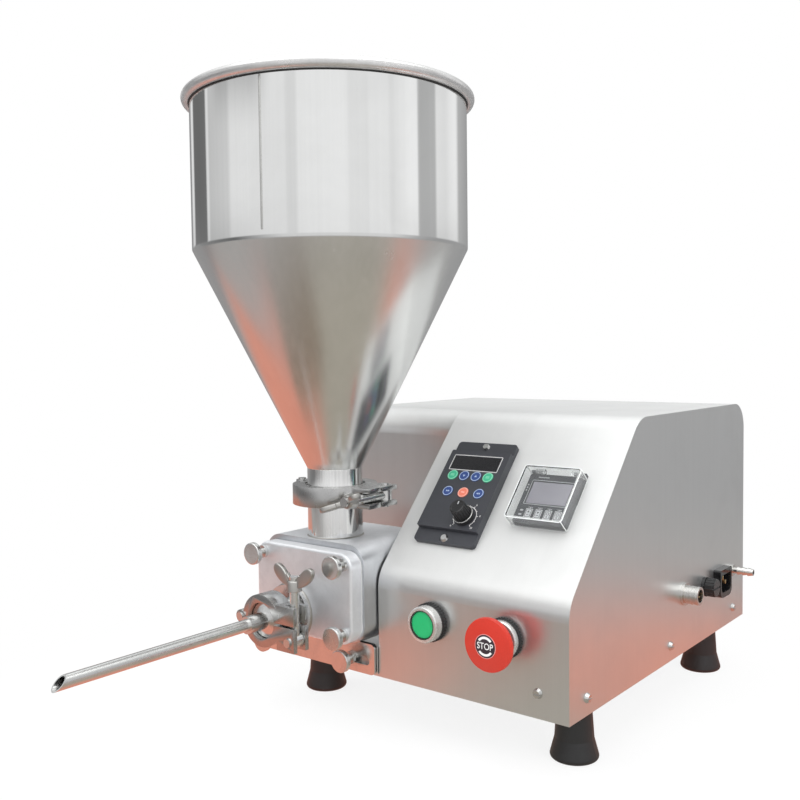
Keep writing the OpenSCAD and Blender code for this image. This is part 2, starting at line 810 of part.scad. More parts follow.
// One half of the ring on the side of Y given by side, with its lug and knuckles
module clamp_half(rim, tube_r, side) {
    bx = bolt_x(rim);
    mine = side < 0 ? mid_knuckle() : end_knuckles();
    other = side < 0 ? knuckle_room(end_knuckles(), 0.2) : knuckle_room(mid_knuckle(), 0.2);
    lug_y = side < 0 ? -clamp_split / 2 - lug_len : clamp_split / 2;
    lug_end = side < 0 ? lug_len : eye_y + eye_r + 2 - clamp_split / 2;
    difference() {
        union() {
            intersection() {
                clamp_ring(rim, tube_r);
                translate([-2 * rim, side < 0 ? -2 * rim - clamp_split / 2 : clamp_split / 2, -clamp_h])
                    cube([4 * rim, 2 * rim, 2 * clamp_h]);
            }
            knuckles(rim, mine, 0);
            difference() {
                translate([rim + 1, lug_y, -clamp_h / 2]) cube([bx - rim + 6, lug_end, clamp_h]);
                translate([0, 0, -clamp_h]) cylinder(r = rim + clamp_wall / 2, h = 2 * clamp_h);
                translate([bx - eye_r - loose, -3 * rim, -eye_t / 2 - loose])
                    cube([3 * rim, 6 * rim, eye_t + 2 * loose]);
            }
        }
        knuckles(rim, other, loose);
        translate([hinge_x(rim), 0, -clamp_h]) cylinder(d = pin_d + 2 * slip, h = 2 * clamp_h);
        if (side > 0)
            translate([bx, eye_y, -clamp_h]) cylinder(d = pin_d + 2 * slip, h = 2 * clamp_h);
    }
}

module clamp_pin_pair(rim) {
    over = 1.5;
    for (p = [[hinge_x(rim), 0], [bolt_x(rim), eye_y]]) translate(p) {
        translate([0, 0, -clamp_h / 2 - over]) cylinder(d = pin_d, h = clamp_h + 2 * over);
        for (z = [-clamp_h / 2 - over, clamp_h / 2])
            translate([0, 0, z]) cylinder(d = pin_d + 2, h = over);
    }
}

function nut_seat() = -clamp_split / 2 - lug_len - nut_gap;
function bolt_end() = nut_seat() - nut_hub_h - 3;

module clamp_bolt(rim) {
    translate([bolt_x(rim), 0, 0]) difference() {
        union() {
            translate([0, eye_y, -eye_t / 2]) cylinder(r = eye_r, h = eye_t);
            translate([0, eye_y, 0]) rotate([90, 0, 0]) cylinder(d = bolt_d, h = eye_y - bolt_end());
        }
        translate([0, eye_y, -bolt_d]) cylinder(d = pin_d + 2 * slip, h = 2 * bolt_d);
    }
}

module wing_nut(rim, turn) {
    translate([bolt_x(rim), nut_seat(), 0]) rotate([0, turn, 0]) difference() {
        union() {
            rotate([90, 0, 0]) cylinder(r = nut_hub_r, h = nut_hub_h);
            for (s = [-1, 1])
                translate([0, 0, -wing_t / 2]) linear_extrude(wing_t)
                    tapered_bar([s * wing_root, -nut_hub_h / 2], [s * wing_x, -wing_y], 3.6, wing_r);
        }
        rotate([90, 0, 0]) translate([0, 0, -eps]) cylinder(d = bolt_d + 2 * slip, h = nut_hub_h * 3);
    }
}

module at_hopper_clamp() {
    translate([pump_x, neck_y, clamp_z]) children();
}

// The outlet joint lies on its side, with the wing nut on top
module at_outlet_clamp() {
    translate([outlet_x, outlet_y, outlet_z]) rotate([-90, 0, 0]) children();
}

hopper_rim = hopper_ferrule_d / 2;
outlet_rim = outlet_ferrule_d / 2;

module inlet_ferrule() {
    color("silver") at_hopper_clamp() mirror([0, 0, 1]) rotate_extrude()
        ferrule_section(hopper_rim, neck_d / 2, neck_wall, clamp_z - pump_top);
}

module outlet_ferrule() {
    boss_d = 48;
    boss_t = 5;
    color("silver") at_outlet_clamp() rotate_extrude() {
        ferrule_section(outlet_rim, outlet_d / 2, (outlet_d - outlet_bore) / 2, outlet_reach);
        translate([outlet_bore / 2, outlet_reach - boss_t]) square([(boss_d - outlet_bore) / 2, boss_t]);
    }
}

module clamp_gaskets() {
    color("white") {
        at_hopper_clamp() gasket(hopper_rim - 1, neck_d / 2 - neck_wall);
        at_outlet_clamp() gasket(outlet_rim - 1, outlet_bore / 2);
    }
}

module clamp_pins() {
    color("silver") {
        at_hopper_clamp() clamp_pin_pair(hopper_rim);
        at_outlet_clamp() clamp_pin_pair(outlet_rim);
    }
}

module hopper() {
    r = hopper_d / 2;
    n = neck_d / 2;
    w = hopper_wall;
    z0 = neck_top - clamp_z;
    z1 = cone_top - clamp_z;
    z2 = hopper_top - clamp_z;
    color("gainsboro") at_hopper_clamp() rotate_extrude() {
        ferrule_section(hopper_rim, n, neck_wall, z0);
        polygon([[n - w, z0], [n, z0], [r, z1], [r, z2], [r - w, z2], [r - w, z1]]);
        translate([rim_ring_r, z2]) circle(rim_r);
    }
}

module nozzle() {
    r = nozzle_d / 2;
    cone_y = hub_end - outlet_y + 18;
    color("silver") difference() {
        at_outlet_clamp() mirror([0, 0, 1]) difference() {
            rotate_extrude() {
                polygon([[0, gasket_t / 2], [outlet_rim, gasket_t / 2], [outlet_rim, ferrule_back],
                    [outlet_d / 2, ferrule_back + (outlet_rim - outlet_d / 2) * ferrule_rise],
                    [hub_r, -cone_y], [hub_r, outlet_y - hub_end], [r, outlet_y - hub_end],
                    [r, outlet_y - nozzle_tip], [0, outlet_y - nozzle_tip]]);
            }
            cylinder(d = nozzle_bore, h = outlet_y - nozzle_tip + eps);
            translate([0, 0, gasket_t / 2]) cylinder(d1 = outlet_bore, d2 = nozzle_bore, h = 4);
        }
        translate([outlet_x, nozzle_tip, outlet_z - r]) rotate([45, 0, 0])
            translate([-nozzle_d, -4 * nozzle_d, 0]) cube([2 * nozzle_d, 8 * nozzle_d, 4 * nozzle_d]);
    }
}

// Push buttons

module button_places() {
    for (p = [[start_x, start_z], [stop_x, stop_z]])
        on_front(p[0], p[1]) children();
}

// A bezel of height h with its threaded barrel; the cap's bore starts at bore_z
module button_bezel(h, bore_z) {
    difference() {
        union() {
            translate([0, 0, gasket_h]) rotate_extrude() intersection() {
                rounded_outline([[-bezel_d / 2, 0], [bezel_d / 2, 0], [bezel_d / 2, h], [-bezel_d / 2, h]],
                    [0, 0, 1.5, 1.5]);
                translate([0, -eps]) square([bezel_d, h + 2 * eps]);
            }
            translate([0, 0, gasket_h - barrel_len]) cylinder(d = barrel_d, h = barrel_len + eps);
        }
        translate([0, 0, gasket_h - barrel_len - eps]) cylinder(d = stop_stem_d + 2 * loose, h = 2 * barrel_len);
        translate([0, 0, bore_z]) cylinder(d = start_d + 2 * loose, h = h + gasket_h);
    }
}

module button_gaskets() {
    color([0.1, 0.1, 0.1]) button_places() ring(bezel_d, barrel_d + 2 * loose, gasket_h);
}

module button_bezels() {
    color("silver") {
        on_front(start_x, start_z)
            button_bezel(bezel_h, gasket_h + bezel_h - cap_sunk - cap_t - start_travel - loose);
        on_front(stop_x, stop_z) button_bezel(stop_bezel_h, gasket_h + stop_bezel_h / 2);
    }
}

module contact_blocks() {
    color([0.2, 0.2, 0.22]) button_places() difference() {
        union() {
            translate([0, 0, -block_y - block_len]) linear_extrude(block_len) square(block_side, center = true);
            translate([0, 0, -sheet - panel_nut_t]) ring(barrel_d + 8, barrel_d + 2 * slip, panel_nut_t);
            translate([0, 0, -block_y]) ring(barrel_d + 6, barrel_d + 2 * slip, block_y - sheet - panel_nut_t);
        }
        translate([0, 0, gasket_h - barrel_len - 12]) cylinder(d = stop_stem_d + 2 * loose, h = barrel_len);
        translate([0, 0, gasket_h - barrel_len - loose]) cylinder(d = barrel_d + 2 * slip, h = barrel_len);
    }
}

module start_cap() {
    top = gasket_h + bezel_h - cap_sunk;
    color("seagreen") on_front(start_x, start_z) {
        translate([0, 0, top - cap_t]) rotate_extrude() intersection() {
            rounded_outline([[-start_d / 2, 0], [start_d / 2, 0], [start_d / 2, cap_t], [-start_d / 2, cap_t]],
                [0, 0, 0.8, 0.8]);
            translate([0, -eps]) square([start_d, cap_t + 2 * eps]);
        }
        translate([0, 0, -20]) cylinder(d = button_stem_d, h = 20 + top - cap_t + eps);
    }
}

stop_back = gasket_h + stop_bezel_h + stop_gap;

module stop_stem() {
    color([0.15, 0.15, 0.15]) on_front(stop_x, stop_z) {
        translate([0, 0, -20]) cylinder(d = stop_stem_d, h = 20 + stop_back + 2);
        translate([0, 0, stop_back + 2]) cylinder(d = stop_tip_d, h = stop_head_h - 8);
    }
}

module stop_head() {
    r = stop_d / 2;
    crown = 70;
    color("red") on_front(stop_x, stop_z) translate([0, 0, stop_back]) difference() {
        rotate_extrude() intersection() {
            rounded_outline([[-stop_back_d / 2, 0], [stop_back_d / 2, 0], [r, stop_flare_h], [r, stop_head_h],
                [-r, stop_head_h], [-r, stop_flare_h]], [0, 0, 2, 5, 5, 2], bend_swell);
            translate([0, stop_head_h - crown]) circle(crown, $fn = 128);
            translate([0, -eps]) square([r + eps, stop_head_h + 2 * eps]);
        }
        translate([0, 0, -eps]) cylinder(d = stop_stem_d + 2 * loose, h = 2 + eps + slip);
        cylinder(d = stop_tip_d + 2 * slip, h = stop_head_h - 6 + slip);
    }
}

// Sloping panel

module at_speed_unit() {
    on_slope(speed_u, speed_v) children();
}

module at_key(row, column) {
    at_speed_unit() translate([key_rows[row][1][column], key_rows[row][0], 0]) children();
}

module speed_case() {
    face_h = speed_h - 2 * speed_tab;
    color([0.1, 0.1, 0.12]) difference() {
        union() {
            at_speed_unit() {
                linear_extrude(speed_tab_t) rounded_rect(speed_w, speed_h, 3);
                linear_extrude(speed_face_t) rounded_rect(speed_w, face_h, 1.2);
                translate([0, 0, -speed_body_len]) linear_extrude(speed_body_len + eps)
                    square([speed_body_w, speed_body_h], center = true);
                translate([knob_u, knob_v, 0]) cylinder(d = pot_d, h = speed_face_t + knob_h - 3);
            }
        }
        for (row = [0, 1], column = [0:len(key_rows[row][1]) - 1])
            at_key(row, column) translate([0, 0, speed_face_t - key_depth])
                cylinder(d = key_d + 0.4, h = key_depth + eps);
        at_speed_unit() translate([window_u, window_v, speed_face_t - window_t])
            linear_extrude(window_t + eps) square([window_w, window_h], center = true);
    }
}

module speed_window() {
    color([0.16, 0.05, 0.05]) at_speed_unit() translate([window_u, window_v, speed_face_t - window_t])
        linear_extrude(window_t) square([window_w, window_h], center = true);
}

module speed_key(row, column, tint) {
    color(tint) at_key(row, column) translate([0, 0, speed_face_t + key_proud - key_t])
        rotate_extrude() intersection() {
            rounded_outline([[-key_d / 2, 0], [key_d / 2, 0], [key_d / 2, key_t], [-key_d / 2, key_t]],
                [0, 0, 0.4, 0.4]);
            translate([0, -eps]) square([key_d, key_t + 2 * eps]);
        }
}

module speed_knob() {
    ribs = 18;
    color([0.12, 0.12, 0.12]) at_speed_unit() translate([knob_u, knob_v, speed_face_t + loose]) difference() {
        union() {
            cylinder(d = knob_d, h = 4);
            linear_extrude(knob_h) polygon([for (i = [0:2 * ribs - 1])
                polar(knob_d / 2 - 2 + (i % 2) * 0.5, i * 180 / ribs)]);
        }
        translate([0, 0, -eps]) cylinder(d = pot_d + 2 * slip, h = knob_h - 2 + eps);
        translate([0, 0, knob_h - 0.6]) linear_extrude(eps) translate([-0.6, 1]) square([1.2, knob_d]);
    }
}

module at_counter() {
    on_slope(counter_u, counter_v) children();
}

module counter_key_outline(grow) {
    square([counter_key_w + 2 * grow, counter_key_h + 2 * grow], center = true);
}

module counter_case() {
    post_x = hinge_u + hinge_knuckle_len / 2 + loose;
    color([0.3, 0.31, 0.33]) at_counter() difference() {
        union() {
            linear_extrude(counter_t) rounded_rect(counter_side, counter_side, 2);
            translate([0, 0, -counter_body_len]) linear_extrude(counter_body_len + eps)
                square(counter_body, center = true);
            for (s = [-1, 1]) {
                translate([s * (post_x + hinge_post / 2), 0, 0]) {
                    translate([-hinge_post / 2, hinge_v - hinge_post_t / 2, 0])
                        cube([hinge_post, hinge_post_t, hinge_z]);
                    translate([-hinge_post / 2, hinge_v, hinge_z]) rotate([0, 90, 0])
                        cylinder(r = hinge_post_r, h = hinge_post);
                    translate([-hinge_post / 2, 0, 0]) cube([hinge_post, hinge_v, 0.25]);
                }
                translate([s * (post_x + 1), hinge_v, hinge_z]) rotate([0, -s * 90, 0])
                    cylinder(d = hinge_d, h = hinge_knuckle_len - 1);
            }
        }
        for (x = counter_keys)
            translate([x, counter_key_v, counter_t - key_depth]) linear_extrude(key_depth + eps)
                counter_key_outline(0.2);
        translate([0, counter_window_v, counter_t - 0.8]) linear_extrude(eps) square(counter_window, center = true);
    }
}

module counter_key(i) {
    color("silver") at_counter()
        translate([counter_keys[i], counter_key_v, counter_t + key_proud - key_t])
            linear_extrude(key_t) counter_key_outline(0);
}

module counter_cover() {
    in = clear_side - 2 * clear_wall;
    color([0.85, 0.9, 0.95, 0.35]) at_counter() difference() {
        union() {
            translate([0, 0, clear_lift]) linear_extrude(clear_h - clear_lift)
                rounded_rect(clear_side, clear_side, 3);
            for (s = [-1, 1]) {
                translate([s * hinge_u - hinge_knuckle_len / 2, hinge_v, hinge_z]) rotate([0, 90, 0])
                    cylinder(r = hinge_knuckle_r, h = hinge_knuckle_len);
                translate([s * hinge_u - hinge_knuckle_len / 2, clear_side / 2 - 1, hinge_z - hinge_knuckle_r])
                    cube([hinge_knuckle_len, hinge_v - clear_side / 2 + 1, 2 * hinge_knuckle_r]);
            }
        }
        translate([0, 0, -eps]) linear_extrude(clear_h - clear_wall + eps) rounded_rect(in, in, 2);
        for (s = [-1, 1])
            translate([s * hinge_u - hinge_knuckle_len, hinge_v, hinge_z]) rotate([0, 90, 0])
                cylinder(d = hinge_d + 2 * slip, h = 2 * hinge_knuckle_len);
    }
}

// Right side

panel_thread_d = 12;

module panel_body(y, z, inner_len) {
    on_side(y, z) {
        children();
        translate([0, 0, -inner_len]) cylinder(d = panel_thread_d, h = inner_len + eps);
        translate([0, 0, -sheet - panel_nut_t]) cylinder(d = panel_thread_d + 7, h = panel_nut_t, $fn = 6);
    }
}

module pedal_socket() {
    flange_t = 2.5;
    color("silver") difference() {
        panel_body(socket_y, socket_z, 16) {
            cylinder(d = socket_d + 4, h = flange_t);
            cylinder(d = socket_d, h = socket_out);
        }
        on_side(socket_y, socket_z) translate([0, 0, socket_out - socket_bore_len])
            cylinder(d = socket_bore_d, h = socket_bore_len + eps);
    }
}

module fuse_holder() {
    color([0.1, 0.1, 0.1]) panel_body(fuse_y, fuse_z, 30) {
        cylinder(d = fuse_cap_d + 1, h = fuse_collar);
        cylinder(d = fuse_d - 4, h = fuse_collar + 5);
    }
}

module fuse_cap() {
    ribs = 16;
    color([0.1, 0.1, 0.1]) on_side(fuse_y, fuse_z) translate([0, 0, fuse_collar + loose]) difference() {
        union() {
            cylinder(d = fuse_cap_d - 1, h = fuse_cap_len);
            for (i = [0:ribs - 1])
                rotate(i * 360 / ribs) translate([fuse_cap_d / 2 - 0.7, 0, 0])
                    cylinder(d = 1.6, h = fuse_cap_len - 1);
        }
        translate([0, 0, -eps]) cylinder(d = fuse_d - 4 + 2 * slip, h = 6 + eps);
        translate([0, 0, fuse_cap_len - 1.2]) linear_extrude(2) square([fuse_cap_d, 1.6], center = true);
    }
}

module power_inlet() {
    blades = [[-7, -1], [7, -1], [0, 4]];
    shell_w = cavity_w + 2 * clear_wall;
    shell_h = cavity_h + 2 * clear_wall;
    color([0.1, 0.1, 0.1]) on_side(inlet_y, inlet_z) {
        difference() {
            union() {
                linear_extrude(inlet_out) rounded_outline([[-inlet_w, -inlet_h] / 2, [inlet_w, -inlet_h] / 2,
                    [inlet_w, inlet_h] / 2, [-inlet_w, inlet_h] / 2], [7, 7, 2, 2]);
                translate([0, 0, -inlet_depth]) linear_extrude(inlet_depth + eps)
                    square([shell_w, shell_h], center = true);
            }
            translate([0, 0, inlet_out - inlet_depth]) linear_extrude(inlet_depth + eps)
                rounded_outline([[-cavity_w, -cavity_h] / 2, [cavity_w, -cavity_h] / 2, [cavity_w, cavity_h] / 2,
                    [-cavity_w, cavity_h] / 2], [5, 5, 1, 1]);
        }
        for (b = blades)
            translate([b[0] - 1, b[1] - 2, inlet_out - inlet_depth - eps]) cube([2, 4, inlet_depth - 3 + eps]);
    }
}

module hose_barb() {
    hex_t = 4;
    ridges = 3;
    stem_r = barb_d / 2 - 1;
    ridge_len = (barb_len - hex_t - 4) / ridges;
    color("silver") on_side(barb_y, barb_z) difference() {
        union() {
            translate([0, 0, -sheet - 8]) cylinder(d = barb_d, h = 8 + sheet + eps);
            translate([0, 0, -sheet - panel_nut_t]) cylinder(d = barb_d + 5, h = panel_nut_t, $fn = 6);
            cylinder(d = barb_d + 4, h = hex_t, $fn = 6);
            cylinder(r = stem_r, h = barb_len);
            for (i = [0:ridges - 1])
                translate([0, 0, hex_t + 4 + i * ridge_len]) cylinder(r1 = barb_d / 2, r2 = stem_r, h = ridge_len);
        }
        translate([0, 0, -sheet - 9]) cylinder(d = barb_bore, h = barb_len + 20);
    }
}

key_green = [0.2, 0.7, 0.4];
key_blue = [0.16, 0.27, 0.55];
key_red = [0.85, 0.25, 0.2];

placed() {
    base_tray();
    hood();
    feet();
    foot_bolts();
    panel_screws();
    gearmotor();
    motor_bracket();
    drive_shaft();
    shaft_coupling();
    drive_gear();
    driven_shaft();
    driven_gear();
    pump_body();
    pump_cover();
    pump_seal();
    cover_screws();
    pump_bracket();
    bracket_screws();
    inlet_ferrule();
    outlet_ferrule();
    clamp_gaskets();
    clamp_pins();
    hopper();
    color("silver") at_hopper_clamp() clamp_half(hopper_rim, neck_d / 2, 1);  // hopper_clamp_rear
    color("silver") at_hopper_clamp() clamp_half(hopper_rim, neck_d / 2, -1);  // hopper_clamp_front
    color("silver") at_hopper_clamp() clamp_bolt(hopper_rim);  // hopper_clamp_bolt
    color("silver") at_hopper_clamp() wing_nut(hopper_rim, hopper_nut_turn);  // hopper_wing_nut
    nozzle();
    color("silver") at_outlet_clamp() clamp_half(outlet_rim, outlet_d / 2, 1);  // outlet_clamp_lower
    color("silver") at_outlet_clamp() clamp_half(outlet_rim, outlet_d / 2, -1);  // outlet_clamp_upper
    color("silver") at_outlet_clamp() clamp_bolt(outlet_rim);  // outlet_clamp_bolt
    color("silver") at_outlet_clamp() wing_nut(outlet_rim, 0);  // outlet_wing_nut
    button_gaskets();
    button_bezels();
    contact_blocks();
    start_cap();
    stop_stem();
    stop_head();
    speed_case();
    speed_window();
    speed_key(0, 0, key_green);  // speed_key_1
    speed_key(0, 1, key_blue);  // speed_key_2
    speed_key(0, 2, key_blue);  // speed_key_3
    speed_key(0, 3, key_green);  // speed_key_4
    speed_key(1, 0, key_blue);  // speed_key_5
    speed_key(1, 1, key_red);  // speed_key_6
    speed_key(1, 2, key_blue);  // speed_key_7
    speed_knob();
    counter_case();
    counter_key(0);  // counter_key_1
    counter_key(1);  // counter_key_2
    counter_key(2);  // counter_key_3
    counter_key(3);  // counter_key_4
    counter_cover();
    pedal_socket();
    fuse_holder();
    fuse_cap();
    power_inlet();
    hose_barb();
}
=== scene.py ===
"""Looks of a bench-top fructose dispenser: steel hopper, gear pump, spout and control housing."""

import json
from math import cos, pi, radians, sin

import bmesh
import bpy
from mathutils import Matrix, Vector


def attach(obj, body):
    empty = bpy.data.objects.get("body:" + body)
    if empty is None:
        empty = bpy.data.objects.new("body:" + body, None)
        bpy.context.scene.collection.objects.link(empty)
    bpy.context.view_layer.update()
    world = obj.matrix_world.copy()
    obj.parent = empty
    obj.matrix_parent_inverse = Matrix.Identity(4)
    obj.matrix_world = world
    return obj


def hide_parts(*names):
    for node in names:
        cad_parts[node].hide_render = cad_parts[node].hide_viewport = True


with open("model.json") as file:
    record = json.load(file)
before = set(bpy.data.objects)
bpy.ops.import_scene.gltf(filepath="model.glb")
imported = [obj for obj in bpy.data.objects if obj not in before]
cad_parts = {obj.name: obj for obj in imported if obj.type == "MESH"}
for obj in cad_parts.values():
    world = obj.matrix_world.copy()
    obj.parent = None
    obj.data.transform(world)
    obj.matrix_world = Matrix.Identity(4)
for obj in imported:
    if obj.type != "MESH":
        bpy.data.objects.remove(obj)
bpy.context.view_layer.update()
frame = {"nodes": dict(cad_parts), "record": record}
parts = frame["nodes"]
scene = bpy.context.scene
scene.view_settings.view_transform = "Standard"

# Places in the frame, in metres
MM = 0.001
HOPPER_AXIS = (-0.06725, -0.043)
HOPPER_R = 0.118
NECK_R = 0.024
NECK_BORE_R = 0.0225
PUMP_TOP_Z = 0.158
OUTLET_AXIS = (-0.08125, 0.096)
PUMP_COVER_Y = -0.0855
FRONT_Y = -0.055
SIDE_X = 0.169
SLOPE = radians(47.53)
SLOPE_FOOT_Z = 0.132
START_PLACE = (0.046, 0.102)
STOP_PLACE = (0.1148, 0.1015)
STOP_FRONT = 0.027
SPEED_PLACE = (0.0418, 0.0873)
KNOB_SHIFT = (0.0134, -0.027)
COUNTER_PLACE = (0.120, 0.087)
COUNTER_KEY_X = (-0.011, -0.0024, 0.0062, 0.0148)
INLET_PLACE = (0.243, 0.093)
SOCKET_PLACE = (0.156, 0.099)
PRINT_THICK = 8e-5


# Shader helpers

def fill_sockets(tree, made, sockets):
    """Links each socket that is given as a socket, and sets the others to their values."""
    for key, value in sockets.items():
        if isinstance(value, bpy.types.NodeSocket):
            tree.links.new(value, made.inputs[key])
        else:
            made.inputs[key].default_value = value
    return made


def add_node(tree, kind, sockets=None, **settings):
    """One shader node with its settings and sockets."""
    made = tree.nodes.new("ShaderNode" + kind)
    for key, value in settings.items():
        setattr(made, key, value)
    return fill_sockets(tree, made, sockets or {})


def product(tree, first, second):
    """Two values multiplied."""
    return add_node(tree, "Math", {0: first, 1: second}, operation="MULTIPLY").outputs[0]


def soft_step(tree, value, start, end, before=0.0, after=1.0):
    """Goes smoothly from before to after while the value goes from start to end."""
    step = add_node(tree, "MapRange", {0: value, 1: start, 2: end, 3: before, 4: after},
                    interpolation_type="SMOOTHSTEP")
    return step.outputs[0]


def mixed_colour(tree, share, first, second):
    """Goes from the first colour to the second as share goes from 0 to 1."""
    return add_node(tree, "Mix", {"Factor": share, 6: first, 7: second}, data_type="RGBA").outputs[2]


def new_group(name, inputs, outputs):
    """An empty shader node group with its named sockets, its entry and its exit."""
    group = bpy.data.node_groups.new(name, "ShaderNodeTree")
    for label, kind, value in inputs:
        socket = group.interface.new_socket(label, in_out="INPUT", socket_type="NodeSocket" + kind)
        if value is not None:
            socket.default_value = value
    for label, kind in outputs:
        group.interface.new_socket(label, in_out="OUTPUT", socket_type="NodeSocket" + kind)
    return group, group.nodes.new("NodeGroupInput"), group.nodes.new("NodeGroupOutput")


def use_group(tree, group, sockets):
    """A node that uses one of the groups below."""
    made = tree.nodes.new("ShaderNodeGroup")
    made.node_tree = group
    return fill_sockets(tree, made, sockets)


def brushed_group():
    """Long fine lines left by an abrasive belt: a shade round 1, a roughness and a height."""
    group, enter, leave = new_group(
        "belt_brushing",
        [("Vector", "Vector", None), ("Roughness", "Float", 0.3), ("Contrast", "Float", 0.1)],
        [("Shade", "Float"), ("Roughness", "Float"), ("Height", "Float")])
    fine = add_node(group, "TexNoise", {"Vector": enter.outputs["Vector"], "Scale": 1.0, "Detail": 5.0,
                                        "Roughness": 0.7})
    wide = add_node(group, "TexNoise", {"Vector": enter.outputs["Vector"], "Scale": 0.13, "Detail": 2.0})
    both = add_node(group, "Math", {0: fine.outputs["Fac"], 1: wide.outputs["Fac"]}, operation="ADD")
    centred = add_node(group, "Math", {0: both.outputs[0], 1: -1.0}, operation="ADD")
    swing = product(group, centred.outputs[0], enter.outputs["Contrast"])
    shade = add_node(group, "Math", {0: swing, 1: 1.0}, operation="ADD")
    rough = add_node(group, "Math", {0: swing, 1: enter.outputs["Roughness"]}, operation="ADD",
                     use_clamp=True)
    group.links.new(shade.outputs[0], leave.inputs["Shade"])
    group.links.new(rough.outputs[0], leave.inputs["Roughness"])
    group.links.new(fine.outputs["Fac"], leave.inputs["Height"])
    return group


def handling_group():
    """Soft cloudy patches where hands and cloths have been: a mask from 0 to 1."""
    group, enter, leave = new_group(
        "handling_marks", [("Vector", "Vector", None), ("Size", "Float", 12.0)], [("Mask", "Float")])
    cloud = add_node(group, "TexNoise", {"Vector": enter.outputs["Vector"], "Scale": enter.outputs["Size"],
                                         "Detail": 4.0, "Roughness": 0.6, "Distortion": 0.4})
    group.links.new(soft_step(group, cloud.outputs["Fac"], 0.38, 0.68), leave.inputs["Mask"])
    return group


def grain_group():
    """Fine pebbled grain of moulded plastic, rubber or blasted metal: a height and a shade round 1."""
    group, enter, leave = new_group(
        "moulded_grain", [("Vector", "Vector", None), ("Scale", "Float", 900.0), ("Contrast", "Float", 0.15)],
        [("Height", "Float"), ("Shade", "Float")])
    pebbles = add_node(group, "TexNoise", {"Vector": enter.outputs["Vector"], "Scale": enter.outputs["Scale"],
                                           "Detail": 3.0, "Roughness": 0.6})
    centred = add_node(group, "Math", {0: pebbles.outputs["Fac"], 1: -0.5}, operation="ADD")
    swing = product(group, centred.outputs[0], enter.outputs["Contrast"])
    shade = add_node(group, "Math", {0: swing, 1: 1.0}, operation="ADD")
    group.links.new(pebbles.outputs["Fac"], leave.inputs["Height"])
    group.links.new(shade.outputs[0], leave.inputs["Shade"])
    return group


BRUSHING = brushed_group()
HANDLING = handling_group()
GRAIN = grain_group()


def new_finish(name, **sockets):
    """A material, its tree, its shader and its Object coordinates."""
    material = bpy.data.materials.new(name)
    material.use_nodes = True
    tree = material.node_tree
    shader = tree.nodes["Principled BSDF"]
    for key, value in sockets.items():
        shader.inputs[key.replace("_", " ").title().replace("Ior", "IOR")].default_value = value
    place = add_node(tree, "TexCoord").outputs["Object"]
    return material, tree, shader, place


def tinted(tree, colour, shade):
    """A colour made a little lighter and darker by a shade round 1."""
    scaled = add_node(tree, "VectorMath", {0: colour, 1: shade}, operation="MULTIPLY")
    return scaled.outputs[0]


def bumped(tree, shader, height, depth, strength=0.5):
    """Turns a height into small relief of the given depth, in metres."""
    bump = add_node(tree, "Bump", {"Height": height, "Distance": depth, "Strength": strength})
    tree.links.new(bump.outputs["Normal"], shader.inputs["Normal"])


def steel(name, colour, rough, stretch, contrast=0.12, depth=2e-5, side_stretch=None, metal=1.0, haze=0.05,
          satin_below=None):
    """Brushed steel; stretch is how fast the lines change along X, Y and Z, in lines a metre.

    satin_below is a height in metres and the roughness that is added below it.
    """
    material, tree, shader, place = new_finish(name, metallic=metal)
    lines = add_node(tree, "Mapping", {"Vector": place, "Scale": stretch}).outputs[0]
    if side_stretch:
        other = add_node(tree, "Mapping", {"Vector": place, "Scale": side_stretch}).outputs[0]
        facing = add_node(tree, "SeparateXYZ", {0: add_node(tree, "NewGeometry").outputs["Normal"]})
        sideways = add_node(tree, "Math", {0: facing.outputs["X"]}, operation="ABSOLUTE")
        on_a_side = add_node(tree, "Math", {0: sideways.outputs[0], 1: 0.7}, operation="GREATER_THAN")
        lines = add_node(tree, "Mix", {"Factor": on_a_side.outputs[0], 4: lines, 5: other},
                         data_type="VECTOR").outputs[1]
    brush = use_group(tree, BRUSHING, {"Vector": lines, "Roughness": rough, "Contrast": contrast})
    marks = use_group(tree, HANDLING, {"Vector": place, "Size": 9.0})
    duller = add_node(tree, "MapRange", {0: marks.outputs["Mask"], 3: 1.0, 4: 0.94})
    shade = product(tree, brush.outputs["Shade"], duller.outputs[0])
    tree.links.new(tinted(tree, colour, shade), shader.inputs["Base Color"])
    hazier = add_node(tree, "MapRange", {0: marks.outputs["Mask"], 3: 0.0, 4: haze})
    rougher = add_node(tree, "Math", {0: brush.outputs["Roughness"], 1: hazier.outputs[0]}, operation="ADD")
    if satin_below:
        height = add_node(tree, "SeparateXYZ", {0: place}).outputs["Z"]
        edge, extra = satin_below
        satin = add_node(tree, "MapRange", {0: height, 1: edge - 0.001, 2: edge + 0.001, 3: extra, 4: 0.0})
        rougher = add_node(tree, "Math", {0: rougher.outputs[0], 1: satin.outputs[0]}, operation="ADD")
    tree.links.new(rougher.outputs[0], shader.inputs["Roughness"])
    bumped(tree, shader, brush.outputs["Height"], depth)
    return material


def moulded(name, colour, rough, scale=900.0, depth=3e-5, contrast=0.2, **sockets):
    """Moulded plastic or rubber with a fine grain."""
    material, tree, shader, place = new_finish(name, **sockets)
    grain = use_group(tree, GRAIN, {"Vector": place, "Scale": scale, "Contrast": contrast})
    tree.links.new(tinted(tree, colour, grain.outputs["Shade"]), shader.inputs["Base Color"])
    marks = use_group(tree, HANDLING, {"Vector": place, "Size": 30.0})
    hazier = add_node(tree, "MapRange", {0: marks.outputs["Mask"], 3: rough, 4: min(1.0, rough + 0.12)})
    tree.links.new(hazier.outputs[0], shader.inputs["Roughness"])
    bumped(tree, shader, grain.outputs["Height"], depth, 0.4)
    return material


